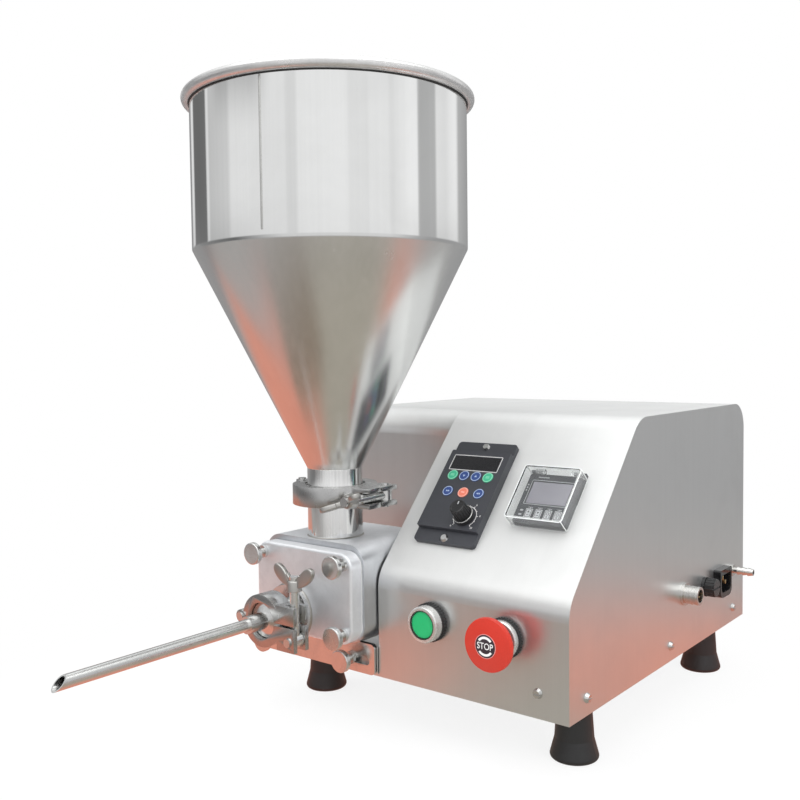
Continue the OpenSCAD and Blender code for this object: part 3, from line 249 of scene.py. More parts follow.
def cast_metal(name, colour, rough, scale=1400.0, depth=2e-5, contrast=0.25, metal=1.0):
    """Tumbled or blasted metal: an even satin with fine pebbles."""
    material, tree, shader, place = new_finish(name, metallic=metal)
    grain = use_group(tree, GRAIN, {"Vector": place, "Scale": scale, "Contrast": contrast})
    marks = use_group(tree, HANDLING, {"Vector": place, "Size": 40.0})
    duller = add_node(tree, "MapRange", {0: marks.outputs["Mask"], 3: 1.03, 4: 0.92})
    shade = product(tree, grain.outputs["Shade"], duller.outputs[0])
    tree.links.new(tinted(tree, colour, shade), shader.inputs["Base Color"])
    hazier = add_node(tree, "MapRange", {0: marks.outputs["Mask"], 3: rough, 4: rough + 0.08})
    tree.links.new(hazier.outputs[0], shader.inputs["Roughness"])
    bumped(tree, shader, grain.outputs["Height"], depth, 0.5)
    return material


def chalkier_on_top(material, metal_side, metal_top, top_from, rougher=0.0):
    """Makes the faces that look up less metallic and rougher, so that they render duller and paler: painted
    light on the tops, standing in for the light that falls on them.
    """
    tree = material.node_tree
    facing = add_node(tree, "SeparateXYZ", {0: add_node(tree, "NewGeometry").outputs["Normal"]}).outputs["Z"]
    metal = add_node(tree, "MapRange", {0: facing, 1: 0.2, 2: top_from, 3: metal_side, 4: metal_top})
    shader = tree.nodes["Principled BSDF"]
    tree.links.new(metal.outputs[0], shader.inputs["Metallic"])
    rough = shader.inputs["Roughness"].links[0].from_socket
    satin = add_node(tree, "MapRange", {0: facing, 1: 0.2, 2: top_from, 3: 0.0, 4: rougher})
    summed = add_node(tree, "Math", {0: rough, 1: satin.outputs[0]}, operation="ADD")
    tree.links.new(summed.outputs[0], shader.inputs["Roughness"])
    return material


# Finishes

# Painted light: the hood and both pump castings are less metallic and rougher on their tops, so that the tops
# render paler.
HOOD_STEEL = chalkier_on_top(
    steel("hood_steel", (0.73, 0.735, 0.73), rough=0.32, stretch=(1100, 5, 5), contrast=0.05, depth=6e-6,
          side_stretch=(5, 1100, 5)),
    metal_side=0.945, metal_top=0.50, top_from=0.60, rougher=0.20)
HOPPER_STEEL = steel("hopper_steel", (0.77, 0.775, 0.765), rough=0.05, stretch=(230, 230, 2), contrast=0.09,
                     depth=2e-6, haze=0.02, satin_below=(0.4043, 0.18))
FITTING_STEEL = cast_metal("fitting_steel", (0.74, 0.74, 0.73), rough=0.20, scale=900.0)
PUMP_METAL = chalkier_on_top(
    cast_metal("pump_metal", (0.76, 0.775, 0.80), rough=0.34, scale=2200.0),
    metal_side=0.68, metal_top=0.25, top_from=0.85)
# Painted shade: a darker, more mirror-like copy of the pump's metal for the pump body, standing in for the
# shade in the gap beside the desk.
PUMP_BODY_SHADED = chalkier_on_top(
    cast_metal("pump_body_painted_shade", (0.66, 0.675, 0.70), rough=0.30, scale=2200.0),
    metal_side=0.97, metal_top=0.25, top_from=0.85)
NECK_STEEL = steel("neck_steel", (0.80, 0.80, 0.79), rough=0.16, stretch=(330, 330, 3), contrast=0.60,
                   depth=8e-6)
RIM_STEEL = cast_metal("rim_steel", (0.68, 0.675, 0.67), rough=0.27, scale=700.0, metal=0.82)
GEAR_STEEL = cast_metal("gear_steel", (0.55, 0.55, 0.55), rough=0.28)
SCREW_STEEL = cast_metal("screw_steel", (0.62, 0.62, 0.61), rough=0.24)
BEZEL_CHROME = cast_metal("bezel_chrome", (0.74, 0.735, 0.72), rough=0.20, metal=0.78)
SOCKET_METAL = cast_metal("socket_metal", (0.62, 0.61, 0.59), rough=0.24)
SEAL_WHITE = moulded("seal_white", (0.80, 0.80, 0.78), rough=0.45)
FOOT_RUBBER = moulded("foot_rubber", (0.016, 0.016, 0.017), rough=0.42, scale=700.0, depth=6e-5, contrast=0.4)
MOTOR_PAINT = moulded("motor_paint", (0.10, 0.11, 0.12), rough=0.40)
START_GREEN = moulded("start_green", (0.006, 0.42, 0.14), rough=0.28)
STOP_RED = moulded("stop_red", (0.53, 0.026, 0.011), rough=0.30)
BLACK_PLASTIC = moulded("black_plastic", (0.016, 0.016, 0.017), rough=0.36)
DISPLAY_DARK = moulded("display_dark", (0.012, 0.012, 0.014), rough=0.08)
KEY_GREEN = moulded("key_green", (0.05, 0.44, 0.25), rough=0.35)
KEY_BLUE = moulded("key_blue", (0.025, 0.06, 0.22), rough=0.35)
KEY_RED = moulded("key_red", (0.78, 0.20, 0.13), rough=0.35)
COUNTER_GREY = moulded("counter_grey", (0.075, 0.078, 0.085), rough=0.40)
COUNTER_KEYS = moulded("counter_keys", (0.62, 0.63, 0.64), rough=0.40)
SEAM_STEEL = cast_metal("seam_steel", (0.60, 0.60, 0.58), rough=0.34, scale=500.0)
# Dark for the start button's joint, and painted shade for the ring under the rolled rim.
DARK_JOINT_AND_SHADE = moulded("dark_joint_and_painted_shade", (0.020, 0.019, 0.019), rough=0.60, scale=600.0)
CLAMP_STEEL = cast_metal("clamp_steel", (0.49, 0.49, 0.485), rough=0.22, scale=700.0)
NUT_METAL = cast_metal("nut_metal", (0.47, 0.46, 0.44), rough=0.36, scale=1800.0, depth=4e-5)
CONTACT_BRASS = cast_metal("contact_brass", (0.78, 0.62, 0.36), rough=0.25)
LABEL_DARK = moulded("label_dark", (0.030, 0.020, 0.028), rough=0.35)
PRINT_WHITE = moulded("print_white", (0.78, 0.77, 0.76), rough=0.50)
PRINT_PINK = moulded("print_pink", (0.74, 0.30, 0.28), rough=0.50)
BLUE_KEY_PRINT = moulded("blue_key_print", (0.42, 0.52, 0.70), rough=0.45)
GREEN_KEY_PRINT = moulded("green_key_print", (0.30, 0.68, 0.48), rough=0.45)
RED_KEY_PRINT = moulded("red_key_print", (0.88, 0.48, 0.40), rough=0.45)
PANEL_BLACK = moulded("panel_black", (0.040, 0.042, 0.050), rough=0.42, scale=1500.0)
PRINT_GREY = moulded("print_grey", (0.50, 0.51, 0.52), rough=0.50)
KEY_DARK_PRINT = moulded("key_dark_print", (0.10, 0.10, 0.11), rough=0.50)
GLOSS_BLACK = moulded("gloss_black", (0.010, 0.010, 0.011), rough=0.12)
LCD_GREY = moulded("lcd_grey", (0.34, 0.33, 0.37), rough=0.14, scale=3000.0, depth=1e-5, contrast=0.08)
# Painted highlight: pale strips laid on the clear cover's edges.
EDGE_PAINTED_HIGHLIGHT = moulded("painted_edge_highlight", (0.86, 0.88, 0.88), rough=0.18)


def clear_box_plastic():
    """Clear plastic with faint smears."""
    material, tree, shader, place = new_finish("clear_plastic", base_color=(0.97, 0.98, 0.98, 1), ior=1.45)
    shader.inputs["Transmission Weight"].default_value = 1.0
    marks = use_group(tree, HANDLING, {"Vector": place, "Size": 60.0})
    haze = add_node(tree, "MapRange", {0: marks.outputs["Mask"], 3: 0.02, 4: 0.06})
    tree.links.new(haze.outputs[0], shader.inputs["Roughness"])
    return material


CLEAR_PLASTIC = clear_box_plastic()

SLOT_FINISH = {
    "hood_steel": HOOD_STEEL, "hopper_steel": HOPPER_STEEL, "fitting_steel": FITTING_STEEL,
    "pump_metal": PUMP_METAL, "gear_steel": GEAR_STEEL, "seal_white": SEAL_WHITE,
    "foot_rubber": FOOT_RUBBER, "screw_steel": SCREW_STEEL, "motor_paint": MOTOR_PAINT,
    "bezel_chrome": BEZEL_CHROME, "start_green": START_GREEN, "stop_red": STOP_RED,
    "black_plastic": BLACK_PLASTIC, "display_dark": DISPLAY_DARK, "key_green": KEY_GREEN,
    "key_blue": KEY_BLUE, "key_red": KEY_RED, "counter_grey": COUNTER_GREY,
    "counter_keys": COUNTER_KEYS, "clear_plastic": CLEAR_PLASTIC, "socket_metal": SOCKET_METAL,
}


def dress_parts():
    """Gives each CAD node the finish of its material slot."""
    for entry in frame["record"]["subparts"]:
        mesh = parts[entry["node"]].data
        mesh.materials.clear()
        mesh.materials.append(SLOT_FINISH[entry["material_slot"]])
    parts["speed_case"].data.materials[0] = PANEL_BLACK
    parts["inlet_ferrule"].data.materials[0] = NECK_STEEL
    # Painted shade: the pump body takes the darker copy of the pump's metal.
    parts["pump_body"].data.materials[0] = PUMP_BODY_SHADED
    for node in ("power_inlet", "fuse_holder", "fuse_cap"):
        parts[node].data.materials[0] = GLOSS_BLACK


dress_parts()


# Shaping helpers

def on_slope(x, v):
    """Place on the sloping panel: X to the right, Y up the slope, Z out of it."""
    return Matrix(((1, 0, 0, x), (0, cos(SLOPE), -sin(SLOPE), FRONT_Y + v * cos(SLOPE)),
                   (0, sin(SLOPE), cos(SLOPE), SLOPE_FOOT_Z + v * sin(SLOPE)), (0, 0, 0, 1)))


def on_front(x, z, y=FRONT_Y):
    """Place on the housing's front, or on a face parallel to it: X to the right, Y up, Z towards the user."""
    return Matrix(((1, 0, 0, x), (0, 0, -1, y), (0, 1, 0, z), (0, 0, 0, 1)))


def on_side(y, z):
    """Place on the housing's right side: X to the back, Y up, Z out of it."""
    return Matrix(((0, 0, 1, SIDE_X), (1, 0, 0, y), (0, 1, 0, z), (0, 0, 0, 1)))


def at(x, y, z=0.0):
    return Matrix.Translation((x, y, z))


def turned(profile, steps=96, closed=False):
    """A lathe-turned shape: a line of (radius, height) points spun once round Z."""
    bm = bmesh.new()
    points = [bm.verts.new((radius, 0, height)) for radius, height in profile]
    lines = [bm.edges.new(pair) for pair in zip(points, points[1:])]
    if closed:
        lines.append(bm.edges.new((points[-1], points[0])))
    bmesh.ops.spin(bm, geom=points + lines, cent=(0, 0, 0), axis=(0, 0, 1), angle=2 * pi, steps=steps,
                   use_merge=True)
    bmesh.ops.remove_doubles(bm, verts=bm.verts, dist=1e-7)
    return bm


def rounded_plate(width, height, thick, corner, edge=0.0):
    """A plate with round corners, and its upper edge broken by edge."""
    bm = bmesh.new()
    bmesh.ops.create_cube(bm, size=1.0)
    bmesh.ops.scale(bm, vec=(width, height, thick), verts=bm.verts)
    bmesh.ops.translate(bm, vec=(0, 0, thick / 2), verts=bm.verts)
    uprights = [e for e in bm.edges if abs(e.verts[0].co.z - e.verts[1].co.z) > thick / 2]
    bmesh.ops.bevel(bm, geom=uprights, offset=corner, segments=5, profile=0.5, affect="EDGES", material=-1)
    if edge:
        rim = [e for e in bm.edges if min(p.co.z for p in e.verts) > thick * 0.99]
        bmesh.ops.bevel(bm, geom=rim, offset=edge, segments=3, profile=0.5, affect="EDGES", material=-1)
    return bm


def outline_line(width, height, corner, line, thick):
    """A thin raised line that runs round a rectangle with round corners."""
    bm = bmesh.new()
    bmesh.ops.create_grid(bm, x_segments=1, y_segments=1, size=0.5)
    bmesh.ops.scale(bm, vec=(width, height, 1), verts=bm.verts)
    bmesh.ops.bevel(bm, geom=bm.verts[:], offset=corner, segments=5, profile=0.5, affect="VERTICES",
                    material=-1)
    middle = bm.faces[:]
    bmesh.ops.inset_individual(bm, faces=middle, thickness=line, use_even_offset=True)
    bmesh.ops.delete(bm, geom=middle, context="FACES")
    return raised(bm, thick)


def raised(bm, thick):
    """Gives a flat shape its thickness upwards."""
    grown = bmesh.ops.extrude_face_region(bm, geom=bm.faces[:])["geom"]
    bmesh.ops.translate(bm, vec=(0, 0, thick), verts=[g for g in grown if isinstance(g, bmesh.types.BMVert)])
    return bm


def arc_line(radius, line, thick, start, sweep, steps=24):
    """A curved raised line about Z, from start through sweep degrees."""
    bm = bmesh.new()
    turn = Matrix.Rotation(radians(start), 3, "Z")
    ends = [bm.verts.new(turn @ Vector((radius + side * line / 2, 0, 0))) for side in (-1, 1)]
    edge = bm.edges.new(ends)
    bmesh.ops.spin(bm, geom=ends + [edge], cent=(0, 0, 0), axis=(0, 0, 1), angle=radians(sweep), steps=steps)
    return raised(bm, thick)


def corner_shape(sides, radius, thick, turn=90):
    """A raised triangle, square or other even shape, with one corner at turn degrees."""
    bm = bmesh.new()
    bmesh.ops.create_circle(bm, cap_ends=True, segments=sides, radius=radius)
    bmesh.ops.rotate(bm, cent=(0, 0, 0), matrix=Matrix.Rotation(radians(turn - 90), 3, "Z"), verts=bm.verts)
    return raised(bm, thick)


def lettering(words, size, thick):
    """Plain raised letters, centred on the origin."""
    curve = bpy.data.curves.new("letters", "FONT")
    curve.body = words
    curve.size = size
    curve.extrude = thick / 2
    curve.align_x, curve.align_y = "CENTER", "CENTER"
    holder = bpy.data.objects.new("letters", curve)
    mesh = bpy.data.meshes.new_from_object(holder)
    bm = bmesh.new()
    bm.from_mesh(mesh)
    bpy.data.objects.remove(holder)
    bpy.data.curves.remove(curve)
    bpy.data.meshes.remove(mesh)
    return bm


def joined(*shapes):
    """One bmesh from several (bmesh, place) pairs."""
    whole = bmesh.new()
    for bm, place in shapes:
        mesh = bpy.data.meshes.new("joining")
        bmesh.ops.remove_doubles(bm, verts=bm.verts, dist=1e-7)
        bmesh.ops.recalc_face_normals(bm, faces=bm.faces)
        bm.to_mesh(mesh)
        bm.free()
        mesh.transform(place)
        whole.from_mesh(mesh)
        bpy.data.meshes.remove(mesh)
    return whole


def set_piece(name, bm, finish, body, sharp=35, instead_of=()):
    """Makes the finished piece, points its faces outwards and sets it on its body."""
    bmesh.ops.recalc_face_normals(bm, faces=bm.faces)
    mesh = bpy.data.meshes.new(name)
    bm.to_mesh(mesh)
    bm.free()
    mesh.shade_smooth()
    mesh.set_sharp_from_angle(angle=radians(sharp))
    mesh.materials.append(finish)
    piece = bpy.data.objects.new(name, mesh)
    scene.collection.objects.link(piece)
    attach(piece, body)
    for node in instead_of:
        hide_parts(node)
    return piece


def eased_copy(node, width, finish, body):
    """The CAD solid with its sharp edges broken, as a file or a tumbling drum leaves them."""
    bm = bmesh.new()
    bm.from_mesh(parts[node].data)
    bmesh.ops.remove_doubles(bm, verts=bm.verts, dist=2e-6)
    bmesh.ops.dissolve_limit(bm, angle_limit=radians(0.5), verts=bm.verts, edges=bm.edges)
    sharp = [e for e in bm.edges if e.is_manifold and e.calc_face_angle(0) > radians(32)]
    bmesh.ops.bevel(bm, geom=sharp, offset=width, segments=2, profile=0.5, affect="EDGES", material=-1,
                    clamp_overlap=True)
    return set_piece("eased_" + node, bm, finish, body, 40, (node,))


# Hopper

def spun_hopper():
    """Cone and cylinder of rolled sheet on a brushed neck; the rolled rim stands on the upper edge."""
    ferrule = [(NECK_BORE_R, 0.1958), (0.0318, 0.1958), (0.032, 0.196), (0.032, 0.1984), (0.0317, 0.1987)]
    sleeve = [(0.0242, 0.2013), (NECK_R, 0.2018), (NECK_R, 0.2171), (0.0237, 0.2176), (NECK_BORE_R, 0.2176)]
    cone = [(0.0234, 0.2172), (NECK_R, 0.2173), (0.02425, 0.2180), (0.02576, 0.2210), (0.0700, 0.3090),
            (0.1166, 0.4017), (0.1172, 0.4029), (0.1178, 0.4041)]
    cylinder = [(HOPPER_R, z) for z in (0.4054, 0.4066, 0.4500, 0.4900, 0.5285)]
    inside = [(0.1165, 0.5285), (0.1165, 0.4045), (NECK_BORE_R, 0.2175)]
    rim_r, rim_z, curl_r = 0.12025, 0.5305, 0.00448
    round_curl = [radians(a) for a in range(0, 360, 12)]
    neck = turned(ferrule + sleeve, 96, closed=True)
    sheet = turned(cone + cylinder + inside, 192, closed=True)
    curl = turned([(rim_r + curl_r * cos(a), rim_z + curl_r * sin(a)) for a in round_curl], 192, closed=True)
    for bm in (neck, sheet, curl):
        bmesh.ops.translate(bm, vec=(*HOPPER_AXIS, 0), verts=bm.verts)
    set_piece("spun_hopper", sheet, HOPPER_STEEL, "cabinet", 40, ("hopper",))
    set_piece("hopper_neck", neck, NECK_STEEL, "cabinet", 25)
    set_piece("rolled_rim", curl, RIM_STEEL, "cabinet", 40)


def hopper_seam():
    """The dressed weld up the hopper's cylinder, a little proud of the sheet."""
    seam = rounded_plate(0.0021, 0.1150, 0.00045, 0.0010, 0.0002)
    seam_r, middle_z = 0.1177, 0.4675
    facing = radians(-73.2)
    stand = Matrix(((-sin(facing), 0, cos(facing), HOPPER_AXIS[0] + seam_r * cos(facing)),
                    (cos(facing), 0, sin(facing), HOPPER_AXIS[1] + seam_r * sin(facing)),
                    (0, 1, 0, middle_z), (0, 0, 0, 1)))
    set_piece("hopper_seam", joined((seam, stand)), SEAM_STEEL, "cabinet", 60)


def rim_curl_gap():
    """Painted shade: a dark ring under the rolled rim, where the curl comes back to the sheet and only shade
    darkens it.
    """
    inner, outer = 0.1179, 0.1191
    gap = turned([(inner, 0.5252), (0.1184, 0.5252), (outer, 0.5262), (outer, 0.5268), (inner, 0.5268)], 192,
                 closed=True)
    bmesh.ops.translate(gap, vec=(*HOPPER_AXIS, 0), verts=gap.verts)
    set_piece("rim_curl_gap", gap, DARK_JOINT_AND_SHADE, "cabinet", 40)


spun_hopper()
hopper_seam()
rim_curl_gap()


# Pump and clamps

def weld_ring(radius, reach):
    """The small fillet that a weld leaves round a tube on a plate."""
    steep, flat = 0.6 * reach, 0.25 * reach
    return turned([(radius, reach), (radius + flat, steep), (radius + steep, flat), (radius + reach, 0),
                   (radius, 0)], 144, closed=True)


def pump_welds():
    """Welds at the foot of the inlet tube and round the outlet's boss."""
    tube = weld_ring(NECK_R, 0.0010)
    boss = weld_ring(NECK_R, 0.0012)
    both = joined((tube, at(*HOPPER_AXIS, PUMP_TOP_Z)), (boss, on_front(*OUTLET_AXIS, PUMP_COVER_Y)))
    set_piece("pump_welds", both, NUT_METAL, "cabinet", 60)


def wing_nut_shape():
    """A cast wing nut standing on Z: a tapered hub, two leaf wings and the saddle that joins them."""
    bore_r, hub_h, wing_half, wing_thick = 0.0041, 0.009, 0.0118, 0.0046
    hub = turned([(bore_r, 0), (0.0062, 0), (0.0065, 0.0004), (0.0060, 0.0075), (0.0056, 0.0086),
                  (0.0050, hub_h), (bore_r, hub_h)], 48, closed=True)
    shapes = [(hub, Matrix.Identity(4))]
    for side in (-1, 1):
        leaf = bmesh.new()
        bmesh.ops.create_circle(leaf, cap_ends=True, segments=40, radius=1.0)
        bmesh.ops.scale(leaf, vec=(wing_half, 0.0064, 1), verts=leaf.verts)
        for point in leaf.verts:
            point.co.y *= 0.80 + 0.20 * point.co.x / wing_half
        raised(leaf, wing_thick)
        bmesh.ops.translate(leaf, vec=(0, 0, -wing_thick / 2), verts=leaf.verts)
        rims = [e for e in leaf.edges if abs(e.verts[0].co.z - e.verts[1].co.z) < 1e-6]
        bmesh.ops.bevel(leaf, geom=rims, offset=0.0013, segments=4, profile=0.5, affect="EDGES", material=-1)
        flip = Matrix.Identity(4) if side > 0 else Matrix.Rotation(pi, 4, "Y")
        lean = (at(side * 0.0124, 0, 0.0115) @ Matrix.Rotation(-side * radians(43), 4, "Y")
                @ Matrix.Rotation(radians(90), 4, "X") @ flip)
        shapes.append((leaf, lean))
    saddle = arc_line(0.0088, 0.0034, 0.0042, 205, 130)
    rims = [e for e in saddle.edges if abs(e.verts[0].co.z - e.verts[1].co.z) < 1e-6
            and len(e.link_faces) == 2 and e.calc_face_angle(0) > 1]
    bmesh.ops.bevel(saddle, geom=rims, offset=0.0010, segments=3, profile=0.5, affect="EDGES", material=-1)
    shapes.append((saddle, at(0, 0.0021, 0.0172) @ Matrix.Rotation(radians(90), 4, "X")))
    return joined(*shapes)


def wing_nuts():
    """Hopper clamp's nut points to the user; the outlet clamp's stands on top."""
    turn = on_front(-0.02125, 0.195, -0.071) @ Matrix.Rotation(radians(22), 4, "Z")
    upright = at(-0.05025, -0.112, 0.124)
    for clamp, place in (("hopper", turn), ("outlet", upright)):
        set_piece(f"{clamp}_clamp_wings", joined((wing_nut_shape(), place)), NUT_METAL, f"{clamp}_nut",
                  40, (f"{clamp}_wing_nut",))


def eased_clamps():
    """The four clamp halves, with their edges broken."""
    for node, body in (("hopper_clamp_rear", "cabinet"), ("hopper_clamp_front", "hopper_clamp_half"),
                       ("outlet_clamp_lower", "cabinet"), ("outlet_clamp_upper", "outlet_clamp_half")):
        eased_copy(node, 0.0006, CLAMP_STEEL, body)


pump_welds()
wing_nuts()
eased_clamps()


# Buttons

def on_crown(radius, lift):
    """A (radius, height) point at a lift over the mushroom's crowned front."""
    crown_r = 0.07
    return radius, STOP_FRONT - radius * radius / (2 * crown_r) + lift


def stop_marking():
    """Dark label on the mushroom head: thin edge, two curved lines and the word between them."""
    place = on_front(*STOP_PLACE)
    label_r, edge_r, edge_outer_r = 0.0087, 0.0086, 0.0090
    thick = 4e-4
    label = turned([on_crown(r, 1.4e-4) for r in (0, 0.003, 0.006, label_r)] + [on_crown(label_r, -4e-4)], 64)
    set_piece("stop_label", joined((label, place)), LABEL_DARK, "stop_mushroom")
    edge = turned([on_crown(edge_r, -2e-4), on_crown(edge_r, 2.4e-4), on_crown(edge_outer_r, 2.4e-4),
                   on_crown(edge_outer_r, -2e-4)], 64, closed=True)
    set_piece("stop_label_edge", joined((edge, place)), PRINT_PINK, "stop_mushroom")
    taller = Matrix.Scale(1.2, 4, (0, 1, 0))
    marks = [(lettering("STOP", 0.0058, thick), place @ at(0, -0.0001, 0.02698) @ taller)]
    for start in (40, 220):
        marks.append((arc_line(0.0064, 0.0017, thick, start, 104), place @ at(0, 0, 0.02664)))
    set_piece("stop_lettering", joined(*marks), PRINT_WHITE, "stop_mushroom")


def start_cap_gap():
    """The dark joint between the start button's cap and its bezel."""
    gap = turned([(0.0109, 0.0122), (0.0116, 0.0122), (0.0116, 0.0131), (0.0109, 0.0131)], 80, closed=True)
    set_piece("start_cap_gap", joined((gap, on_front(*START_PLACE))), DARK_JOINT_AND_SHADE, "cabinet")


def bezel_collars():
    """Black ribbed collars round the rear of the two bezels."""
    inner, outer, ribs = 0.01452, 0.0151, 40
    shapes = []
    for button, deep in ((START_PLACE, 0.0052), (STOP_PLACE, 0.0040)):
        place = on_front(*button)
        collar = turned([(inner, 0.0001), (outer, 0.0001), (outer, deep - 0.0004), (0.0148, deep),
                         (inner, deep)], 80, closed=True)
        shapes.append((collar, place))
        for i in range(ribs):
            rib = rounded_plate(0.0011, 0.0007, deep - 0.0008, 0.0003)
            turn = Matrix.Rotation(i * 2 * pi / ribs, 4, "Z")
            shapes.append((rib, place @ turn @ at(0, 0.0152, 0.0002)))
    set_piece("bezel_collars", joined(*shapes), BLACK_PLASTIC, "cabinet")


stop_marking()
start_cap_gap()
bezel_collars()


# Speed unit

# Across and up from the unit's middle, in millimetres
SPEED_KEYS = ((-17.7, 13.1), (-5.8, 13.1), (6.1, 13.1), (18.0, 13.1),
              (-15.0, -3.6), (0.6, -3.6), (16.2, -3.6))


def speed_face_print():
    """Pale display frame, and the knob's scale with its dots and numbers, on the speed unit's face."""
    face = on_slope(*SPEED_PLACE) @ at(0, 0, 0.00797)
    thick = 9e-5
    number_r = 0.0138
    knob = face @ at(*KNOB_SHIFT)
    shapes = [(outline_line(0.0492, 0.0160, 0.0009, 0.00055, thick), face @ at(-0.0002, 0.0266)),
              (arc_line(0.0104, 0.0005, thick, -44, 268, 64), knob)]
    for i in range(11):
        angle = radians(224 - 26.8 * i)
        long = i % 2 == 0
        length, middle_r = (0.0016, 0.0113) if long else (0.0009, 0.0110)
        tick = rounded_plate(0.0004, length, thick, 0.0001)
        shapes.append((tick, knob @ Matrix.Rotation(angle - pi / 2, 4, "Z") @ at(0, middle_r)))
        if long:
            number = lettering(str(i), 0.0023, thick)
            shapes.append((number, knob @ at(number_r * cos(angle), number_r * sin(angle), thick / 2)))
    set_piece("speed_face_print", joined(*shapes), PRINT_WHITE, "cabinet")


def speed_key_marks():
    """Printed ring and sign on each key; they go down with it."""
    prints = (GREEN_KEY_PRINT, BLUE_KEY_PRINT, BLUE_KEY_PRINT, GREEN_KEY_PRINT,
              BLUE_KEY_PRINT, RED_KEY_PRINT, BLUE_KEY_PRINT)
    thick = PRINT_THICK
    for number, ((u, v), ink) in enumerate(zip(SPEED_KEYS, prints), 1):
        top = on_slope(SPEED_PLACE[0] + u * MM, SPEED_PLACE[1] + v * MM) @ at(0, 0, 0.00848)
        shapes = [(arc_line(0.0043, 0.0006, thick, 0, 359.9, 48), top)]
        if number in (2, 3):
            shapes.append((corner_shape(3, 0.0014, thick, 270 if number == 2 else 90), top))
        elif number in (5, 7):
            for shift in (-0.0009, 0.0009):
                shapes.append((corner_shape(3, 0.0011, thick, 0 if number == 5 else 180), top @ at(shift, 0)))
        elif number == 6:
            shapes.append((rounded_plate(0.0034, 0.0011, thick, 0.0003), top))
        else:
            for shift in (-0.0006, 0.0006):
                shapes.append((rounded_plate(0.0036, 0.0006, thick, 0.0002), top @ at(0, shift)))
        set_piece(f"speed_key_mark_{number}", joined(*shapes), ink, f"speed_button_{number}")


def knob_cap():
    """Glossy cap, bright waist ring and pointer of the speed knob."""
    knob = on_slope(SPEED_PLACE[0] + KNOB_SHIFT[0], SPEED_PLACE[1] + KNOB_SHIFT[1])
    cap = turned([(0, 0.0229), (0.0058, 0.0229), (0.0061, 0.0232), (0.0059, 0.0236), (0.0052, 0.0238),
                  (0.0049, 0.02355), (0, 0.0234)], 64)
    set_piece("knob_cap", joined((cap, knob)), GLOSS_BLACK, "speed_dial")
    waist = turned([(0.0084, 0.0121), (0.0087, 0.0121), (0.0087, 0.0125), (0.0084, 0.0126)], 64, closed=True)
    set_piece("knob_waist_ring", joined((waist, knob)), BEZEL_CHROME, "speed_dial")
    pointer = joined((rounded_plate(0.0007, 0.0028, 0.0003, 0.0003), knob @ at(0, 0.0034, 0.02355)))
    set_piece("knob_pointer", pointer, PRINT_GREY, "speed_dial")


speed_face_print()
speed_key_marks()
knob_cap()


# Counter

def counter_face():
    """Liquid-crystal window with its border, the small lines over the keys and the marks beside them."""
    face = on_slope(*COUNTER_PLACE)
    window_v = 0.0052
    glass = joined((rounded_plate(0.0352, 0.0207, 0.0005, 0.0004, 0.00015), face @ at(0, window_v, 0.0042)))
    set_piece("counter_glass", glass, LCD_GREY, "cabinet")
    thick = PRINT_THICK
    high = 0.00497
    shapes = [(outline_line(0.0382, 0.0236, 0.0008, 0.0005, thick), face @ at(0, window_v, high))]
    for x in COUNTER_KEY_X:
        shapes.append((rounded_plate(0.0042, 0.0005, thick, 0.0002), face @ at(x, -0.0092, high)))
        shapes.append((rounded_plate(0.0005, 0.0011, thick, 0.0002), face @ at(x, -0.0100, high)))
    for v in (0.0118, 0.0092, 0.0066):
        shapes.append((rounded_plate(0.0013, 0.0013, thick, 0.0003), face @ at(-0.0212, v, high)))
    for v in (-0.0125, -0.0165):
        shapes.append((rounded_plate(0.0028, 0.0015, thick, 0.0004), face @ at(-0.0180, v, high)))
    shapes.append((rounded_plate(0.0100, 0.0009, thick, 0.0003), face @ at(-0.0100, 0.0198, high)))
    shapes.append((rounded_plate(0.0014, 0.0014, thick, 0.0006), face @ at(0.0195, 0.0198, high)))
    set_piece("counter_face_print", joined(*shapes), PRINT_GREY, "cabinet")


def counter_key_marks():
    """A dark sign on each of the counter's four keys; they go down with it."""
    thick = PRINT_THICK
    for number, x in enumerate(COUNTER_KEY_X, 1):
        top = on_slope(COUNTER_PLACE[0] + x, COUNTER_PLACE[1] - 0.015) @ at(0, 0, 0.00548)
        shapes = [(outline_line(0.0048, 0.0074, 0.0009, 0.0004, thick), top)]
        if number < 3:
            shapes.append((corner_shape(3, 0.0013, thick, 90 if number == 1 else 270), top @ at(0, 0.0012)))
            shapes.append((rounded_plate(0.0022, 0.0005, thick, 0.0002), top @ at(0, -0.0014)))
        else:
            shapes.append((outline_line(0.0024, 0.0024, 0.0004, 0.0004, thick), top @ at(0, 0.0010)))
            shapes.append((corner_shape(3, 0.0009, thick, 0 if number == 3 else 180), top @ at(0, -0.0018)))
        set_piece(f"counter_key_mark_{number}", joined(*shapes), KEY_DARK_PRINT, f"counter_button_{number}")


def clear_cover_edges():
    """Pale strips along the clear cover's edges and corner posts: painted highlights, where the polished
    plastic would gather the light.
    """
    face = on_slope(*COUNTER_PLACE)
    side, post_r = 0.0511, 0.00038
    shapes = [(outline_line(side, side, 0.003, 0.0007, 0.0005), face @ at(0, 0, 0.01405)),
              (outline_line(side, side, 0.003, 0.0005, 0.0005), face @ at(0, 0, 0.00095)),
              (outline_line(0.0479, 0.0479, 0.002, 0.0004, 0.0003), face @ at(0, 0, 0.0127))]
    reach = side / 2 - 0.0009
    for x in (-reach, reach):
        for y in (-reach, reach):
            post = turned([(0, 0.0011), (post_r, 0.0011), (post_r, 0.0143), (0, 0.0143)], 12)
            shapes.append((post, face @ at(x, y)))
    set_piece("clear_cover_edges", joined(*shapes), EDGE_PAINTED_HIGHLIGHT, "counter_lid")


counter_face()
counter_key_marks()
clear_cover_edges()


# Side fittings

